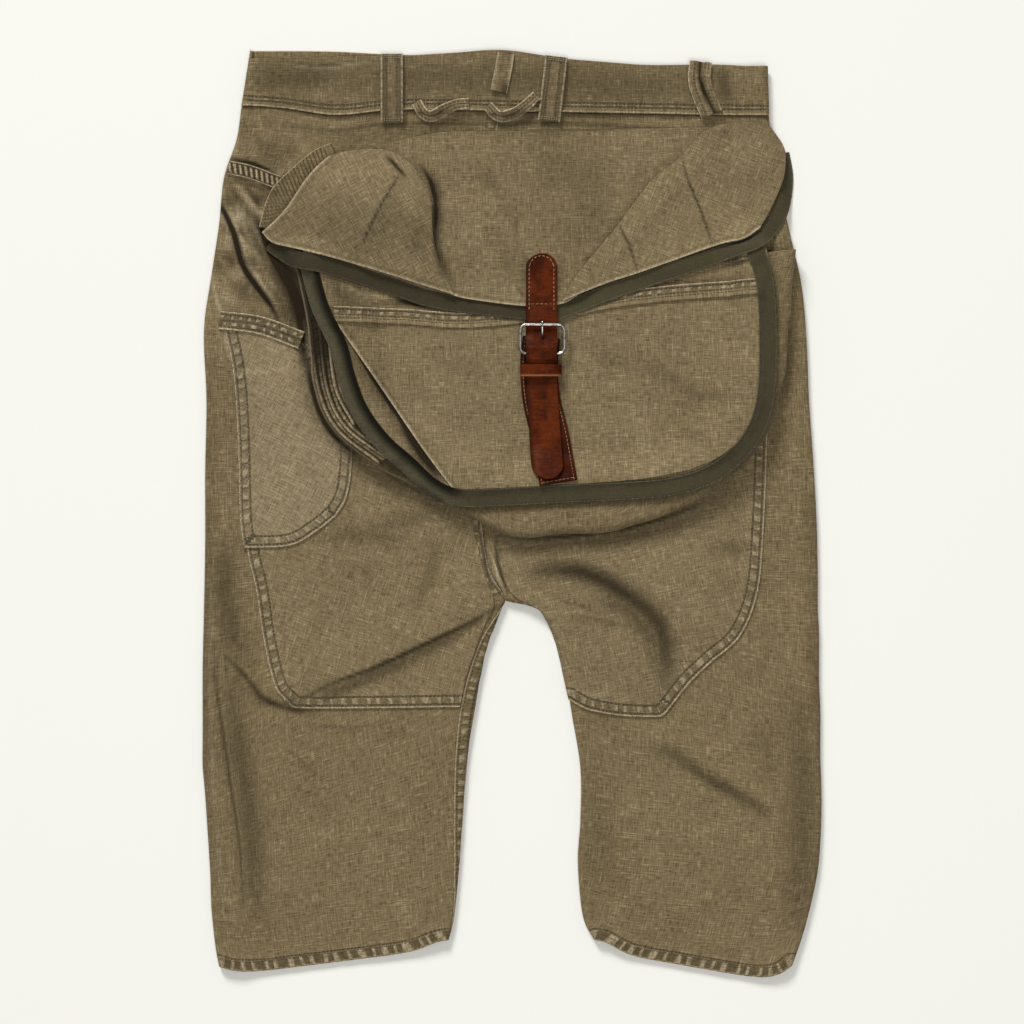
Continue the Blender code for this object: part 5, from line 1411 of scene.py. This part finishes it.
flapShade = (
    ((10, 306, 36, 270, 62, 240, 84, 222), 36, 0.26), ((150, 292, 120, 262, 96, 240), 16, 0.3),
    ((-82, 284, -62, 264, -59, 240, -60, 215, -52, 192, -44, 174), 4.0, 0.8),
    ((-76, 281, -66, 268, -60.5, 247, -61, 228, -62, 214), 2.2, 1.3),
    ((4, 304, 4, 250, 3, 200, 3, 176), 2.2, 0.22), ((53, 238, 54, 222, 54, 208), 1.6, 0.4),
    ((-36, 286, -16, 264, 5, 238), 6, 0.22), ((-20, 232, -6, 206, 4, 186), 7, 0.22),
    ((3, 183, 8, 176, 12, 170), 2, 0.5), ((150, 298, 128, 274, 104, 252, 78, 220, 48, 182), 6, 0.4),
    ((-92, 304, -40, 307, 60, 307, 140, 311), 2.0, 0.65),
    ((-92, 310, -40, 314, 60, 314, 140, 318), 7, 0.35), ((12, 208, 10, 190, 12, 172), 5, 0.3),
    ((38, 208, 39, 190, 38, 172), 5, 0.3),
)
leftWingFolds = (
    ((-92, 272, -104, 245, -116, 218), 9, 7, 1.4), ((-84, 262, -78, 240, -74, 210), 8, 6, 2.0),
)
leftWingShade = (
    ((-101, 286, -92, 276, -83, 266), 1.8, 1.0),
    ((-89, 272, -90, 268, -104, 243, -118, 216, -120, 212), 0.9, 0.9),
    ((-120, 214, -128, 206, -136, 200), 1.3, 0.3),
    ((-80, 276, -66, 262, -60, 240, -61, 215, -52, 180), 3.0, 0.75),
    ((-84, 226, -72, 208, -60, 196), 6, 0.24), ((-96, 250, -82, 232, -66, 216), 5, 0.2),
    ((-200, 232, -160, 240, -128, 246, -90, 262), 22, 0.17),
)
rightWingFolds = (
    ((140, 284, 146, 260, 158, 222), 6, 6, 0.9), ((90, 230, 98, 214, 104, 196), 5, 5, 0.8),
    ((176, 300, 184, 270, 192, 236), 14, 14, 1.4),
)
rightWingShade = (
    ((135, 286, 136, 282, 141, 266, 151, 242, 160, 215, 161, 211), 0.9, 0.9),
    ((85, 233, 86, 230, 94, 213, 100, 194, 101, 190), 0.9, 0.8), ((60, 200, 64, 190, 66, 182), 1.4, 0.3),
    ((150, 262, 190, 264, 214, 270), 9, 0.16),
)
# Stitched darts of the left and of the right wing
leftDarts = ((-90, 268, -104, 243, -118, 216),)
rightDarts = ((136, 282, 141, 266, 151, 242, 160, 215), (86, 230, 94, 213, 100, 194))


def makeFlap():
    wall, step, soften, wrinkle = (flapLook[key] for key in ("wall", "step", "soften", "wrinkle"))
    for name, line in flapTapes.items():
        flat = stripGrid(line, flapLook["tapeHalf"], 2.0)
        layPiece("flapBinding" + name, flat, flapLook["tape"], "binding", soften["tape"],
                 sides=("left", "right"), pucker=0.25, shade=flapLook["tapeShade"][name])
    layPiece("flapMiddle", coonsGrid(flapMiddle, step), wall, "overlay", soften["middle"], wrinkle=wrinkle,
             folds=flapFolds, strokes=flapShade, folded=("bottom",))
    # Raised ribs across the edge strip with painted shade between them, and raised rims painted pale as wear
    # and highlight
    flat = stripGrid(edgeStrip, flapLook["stripHalf"], 0.7)
    ribs = np.abs(np.sin(np.pi * runLengths(flat, 0) / flapLook["ribPitch"]))
    rims = ramp(np.abs(across(flat)), 0.78, 0.15)
    layPiece("flapEdgeStrip", flat, wall, "canvas", 4,
             extra=flapLook["rib"] * ribs * (1 - rims) + flapLook["rim"] * rims,
             shade=np.clip(0.95 - ribs * 1.2, 0, 1) * (1 - rims), wear=flapLook["rimWearAndHighlight"] * rims)
    flat = coonsGrid(wingLeft, step)
    loft = flapLook["wingLevel"] + flapLook["wingCrown"] * mound(flat, *flapLook["wingPuff"])
    layPiece("flapWingLeft", flat, wall, "overlay", soften["wing"], loft=loft, wrinkle=wrinkle,
             grain=flapLook["grainLeft"], folds=leftWingFolds, strokes=leftWingShade,
             folded=("bottom", "left"))
    for points in leftDarts:
        sewDart(points, wall)
    layPiece("flapWingRight", coonsGrid(wingRight, step), wall, "overlay", soften["wing"],
             wrinkle=flapLook["wrinkleRight"], grain=flapLook["grainRight"], folds=rightWingFolds,
             strokes=rightWingShade, folded=("bottom",))
    for points in rightDarts:
        sewDart(points, wall)


makeFlap()
print("stage: flap made")

# Strap, buckle and keeper
strapLook = {
    "wall": 2.2, "half": 12.2, "tip": 11.0, "underHalf": 15.0, "x": 24, "boxTop": 196, "boxLow": 166.5,
    "holes": (136.0, 125.5, 93.0, 76.5), "holeSize": (1.9, 2.9), "holeDepth": 0.9, "edgeShade": 0.75,
    "row": 2.4, "underRow": 2.2, "sewn": (160, 200),     # the upper strap's rows run between these two y
    "underSoften": 20, "soften": 10, "spread": 60, "wave": 0.28, "edgeDrop": 0.5,
}
buckleLook = {
    "wire": 2.8, "prong": 1.8, "half": 17.6, "corner": 5.0, "x": 24.5, "top": 150.0, "low": 127.0,
}
keeperLook = {"x": 23.5, "y": 113.5, "width": 9.0, "half": 15.6, "wall": 1.5}
strapLine = (24, 207, 24, 176, 24, 150, 24, 126, 24.5, 100, 27, 60, 29.5, 27)
underLine = (24, 140, 22, 118, 24, 90, 31, 60, 37, 24)


def roundedTips(flat, tip):
    # The strip's ends are cut round: the width narrows over the last tip of its run
    middle = flat[:, flat.shape[1] // 2][:, None]
    run = runOf(middle[:, 0])
    left = np.minimum(run, run[-1] - run)
    size = np.sqrt(np.clip(1 - (1 - np.clip(left / tip, 0.02, 1)) ** 2, 0, 1))
    return middle + (flat - middle) * size[:, None, None]


def middleAt(strip, y, axis):
    # Where the middle line of a strip is at some y, along another axis
    line = strip[::-1, strip.shape[1] // 2]
    return np.interp(y, line[:, 1], line[:, axis])


def levelAt(y, wall):
    # The highest cloth beneath a bar of the buckle
    feel = np.linspace(-9, 9, 7)
    return heap.drape(*np.meshgrid(buckleLook["x"] + feel, y + feel), wall, 0).max()


def makeStrap():
    wall, wire, half = strapLook["wall"], buckleLook["wire"], strapLook["half"]
    grid = layPiece("strapUnder", stripGrid(underLine, strapLook["underHalf"], 1.6), wall, "leatherDark",
                    strapLook["underSoften"], sides=("left", "right"))
    for side, cut in (("left", 0.0), ("right", 0.0), ("bottom", 2)):
        sewLine(inset(grid, side, strapLook["underRow"], cut), wall, "creamThread")
    level = max(levelAt(buckleLook["low"], wire) + 0.25, levelAt(buckleLook["top"], wire) + wall + 0.5)
    flat = roundedTips(stripGrid(strapLine, half, 0.9), strapLook["tip"])
    x, y = flat[..., 0], flat[..., 1]
    # The strap rises softly over the low bar
    over = np.where(np.abs(y - buckleLook["low"]) < 5, level + wire / 2 + wall / 2 + 0.3, 0.0)
    z = spread(np.maximum(heap.drape(x, y, wall, strapLook["soften"]), over), strapLook["spread"])
    aside = np.abs((x - x[:, x.shape[1] // 2][:, None]) / half)
    wave = softNoise(x * 0.25, y, 3.4, 41) * ramp(y, 115, -40)
    z = z + strapLook["wave"] * wave - strapLook["edgeDrop"] * aside ** 6
    holes, (a, b) = np.zeros_like(z), strapLook["holeSize"]
    for holeY in strapLook["holes"]:
        spot = ((x - middleAt(flat, holeY, 0)) / a) ** 2 + ((y - holeY) / b) ** 2
        holes = np.maximum(holes, np.exp(-(spot ** 2)))
    grid = np.dstack([flat, z - strapLook["holeDepth"] * holes])
    shade = np.clip(holes * 1.2 + ramp(aside, 0.86, 0.12) * strapLook["edgeShade"], 0, 1)
    makeSheet("strapUpper", grid, wall, "leather", shade=shade)
    low, high = strapLook["sewn"]
    for side in ("left", "right"):
        line = inset(grid, side, strapLook["row"])
        sewLine(line[(line[:, 1] > low) & (line[:, 1] < high)], wall, "creamThread", **saddleLook)
    t, k = np.linspace(0.1, math.pi - 0.1, 15), np.linspace(-9, 9, 9)
    for lineX, lineY, sink in (
        (strapLook["x"] + (half - 2.6) * np.cos(t), strapLook["boxTop"] + (half - 3.0) * np.sin(t), 0.1),
        (strapLook["x"] + k, strapLook["boxLow"] + 0 * k, 0.0),
    ):
        line = np.column_stack([lineX, lineY, middleAt(grid, lineY, 2) - sink])
        sewLine(line, wall, "creamThread", **saddleLook)
    return grid, level


def makeBuckle(strap, level):
    x, low, high = buckleLook["x"], buckleLook["low"], buckleLook["top"]
    radius, wire, prong = buckleLook["corner"], buckleLook["wire"] / 2, buckleLook["prong"] / 2
    outline = []
    for start, signX, signY in ((0, 1, 1), (90, -1, 1), (180, -1, -1), (270, 1, -1)):
        centreX = x + signX * buckleLook["half"] - signX * radius
        centreY = (high if signY > 0 else low) - signY * radius
        for turn in (math.radians(start + 15 * k) for k in range(7)):
            outline.append((centreX + radius * math.cos(turn), centreY + radius * math.sin(turn), level))
    makeWire("buckleFrame", outline, wire, closed=True, sides=14)
    skin = float(middleAt(strap, 141.0, 2)) + strapLook["wall"] / 2 + 1.0
    tip = level + wire + 0.2 + prong
    line = ((x, 139.5, skin), (x, 144.0, max(skin, tip - 0.6)), (x, 149.0, tip), (x, 151.5, tip - 0.1),
            (x, 153.0, tip - 0.6))
    makeWire("buckleProng", line, prong)


def makeKeeper():
    # The keeper goes over both straps
    half, wall = keeperLook["half"], keeperLook["wall"]
    rim = np.array((half, half - 0.3, half - 0.9, half - 2))
    x = np.concatenate([-rim, np.linspace(-half + 3.5, half - 3.5, 15), rim[::-1]])
    drop = np.interp(np.abs(x), [0, half - 3, half - 1, half - 0.3, half], [0, 0.1, 0.7, 1.6, 2.8])
    y = keeperLook["y"] + keeperLook["width"] / 2 * np.array((1, 0.9, 0.6, 0.2, -0.2, -0.6, -0.9, -1))
    gridX, gridY = np.meshgrid(keeperLook["x"] + x, y)
    crown = heap.drape(gridX[:, 4:-4], gridY[:, 4:-4], wall, 0).max() + 0.15
    bow = -0.35 * np.array((1, 0.5, 0.1, 0, 0, 0.1, 0.5, 1))[:, None]
    wornAndLit = np.array((0, 0, 0, 0, 0, 0, 0.5, 0.8))[:, None]
    makeSheet("strapKeeper", np.dstack([gridX, gridY, crown - drop[None] + bow]), wall, "leather", wear=wornAndLit)


makeBuckle(*makeStrap())
makeKeeper()

# Seams of the body panels: the seat seam, the left inseam where it turns to this side, and both hems
seat, inseam = bodyGrids["backLeft"], bodyGrids["frontLeft"]
(seatTop, seatLow), (inseamLevel, inseamTop) = bodyLook["seatSewn"], bodyLook["inseamSewn"]
seatRows = (seat[:, :, 1].mean(axis=1) < seatTop) & (seat[:, -1, 1] > seatLow)
for distance in bodyLook["seamRows"]:
    sewLine(inset(seat[seatRows], "right", distance), bodyLook["wall"])
    line = inset(inseam, "right", distance)
    sewLine(line[(line[:, 2] > inseamLevel) & (line[:, 1] < inseamTop)], bodyLook["wall"])
for side in ("Left", "Right"):
    sewLine(inset(bodyGrids["back" + side], "bottom", bodyLook["hemRow"], 1), bodyLook["wall"])
# A small stitched triangle beside the right patch's corner
for points in (bodyLook["triangle"], bodyLook["triangleSide"]):
    sewDart(points, patchLook["wall"])
makeStitches("canvasStitches", "thread")
makeStitches("bartackStitches", "paleThread")
makeStitches("tapeStitches", "tapeThread")
makeStitches("leatherStitches", "creamThread")
print("stage: strap and stitches made")

# Camera, light and floor
stageLook = {
    "floorSize": 6, "floorTone": (0.868, 0.866, 0.815, 1),
    "worldTone": (1.0, 0.99, 0.97, 1), "worldLight": 0.30,
    "keyLight": ((-2.6, 6.8, 4.4), 2.4, 640),      # place, size and power
    "topLight": ((0.3, -0.9, 3.2), 1.6, 40),
    "lens": 100.0, "sensor": 36.0, "view": (0.4, 0.8), "cameraHeight": 2.2786,
}


def makeStage():
    bpy.ops.mesh.primitive_plane_add(size=stageLook["floorSize"])
    floor = bpy.context.object
    floor.name = "floor"
    material = newMaterial("floorPaper", {
        "Base Color": stageLook["floorTone"], "Roughness": 0.95, "Specular IOR Level": 0.1,
    })[0]
    floor.data.materials.append(material)
    scene = bpy.context.scene
    scene.world = bpy.data.worlds.new("studio")
    scene.world.use_nodes = True
    sky = scene.world.node_tree.nodes["Background"].inputs
    sky["Color"].default_value = stageLook["worldTone"]
    sky["Strength"].default_value = stageLook["worldLight"]
    for name in ("keyLight", "topLight"):
        data = bpy.data.lights.new(name, "AREA")
        place, data.size, data.energy = stageLook[name]
        light = bpy.data.objects.new(name, data)
        light.location = place
        light.rotation_mode = "QUATERNION"
        light.rotation_quaternion = (-Vector(place)).to_track_quat("-Z", "Y")
        scene.collection.objects.link(light)
    camera = bpy.data.cameras.new("camera")
    camera.lens, camera.sensor_width = stageLook["lens"], stageLook["sensor"]
    holder = bpy.data.objects.new("camera", camera)
    x, y = stageLook["view"]
    holder.location = ((x + centreShift[0]) * mm, (y + centreShift[1]) * mm, stageLook["cameraHeight"])
    scene.collection.objects.link(holder)
    scene.camera = holder
    scene.view_settings.view_transform = "Standard"
    scene.view_settings.look = "None"


makeStage()
print("stage: finished")
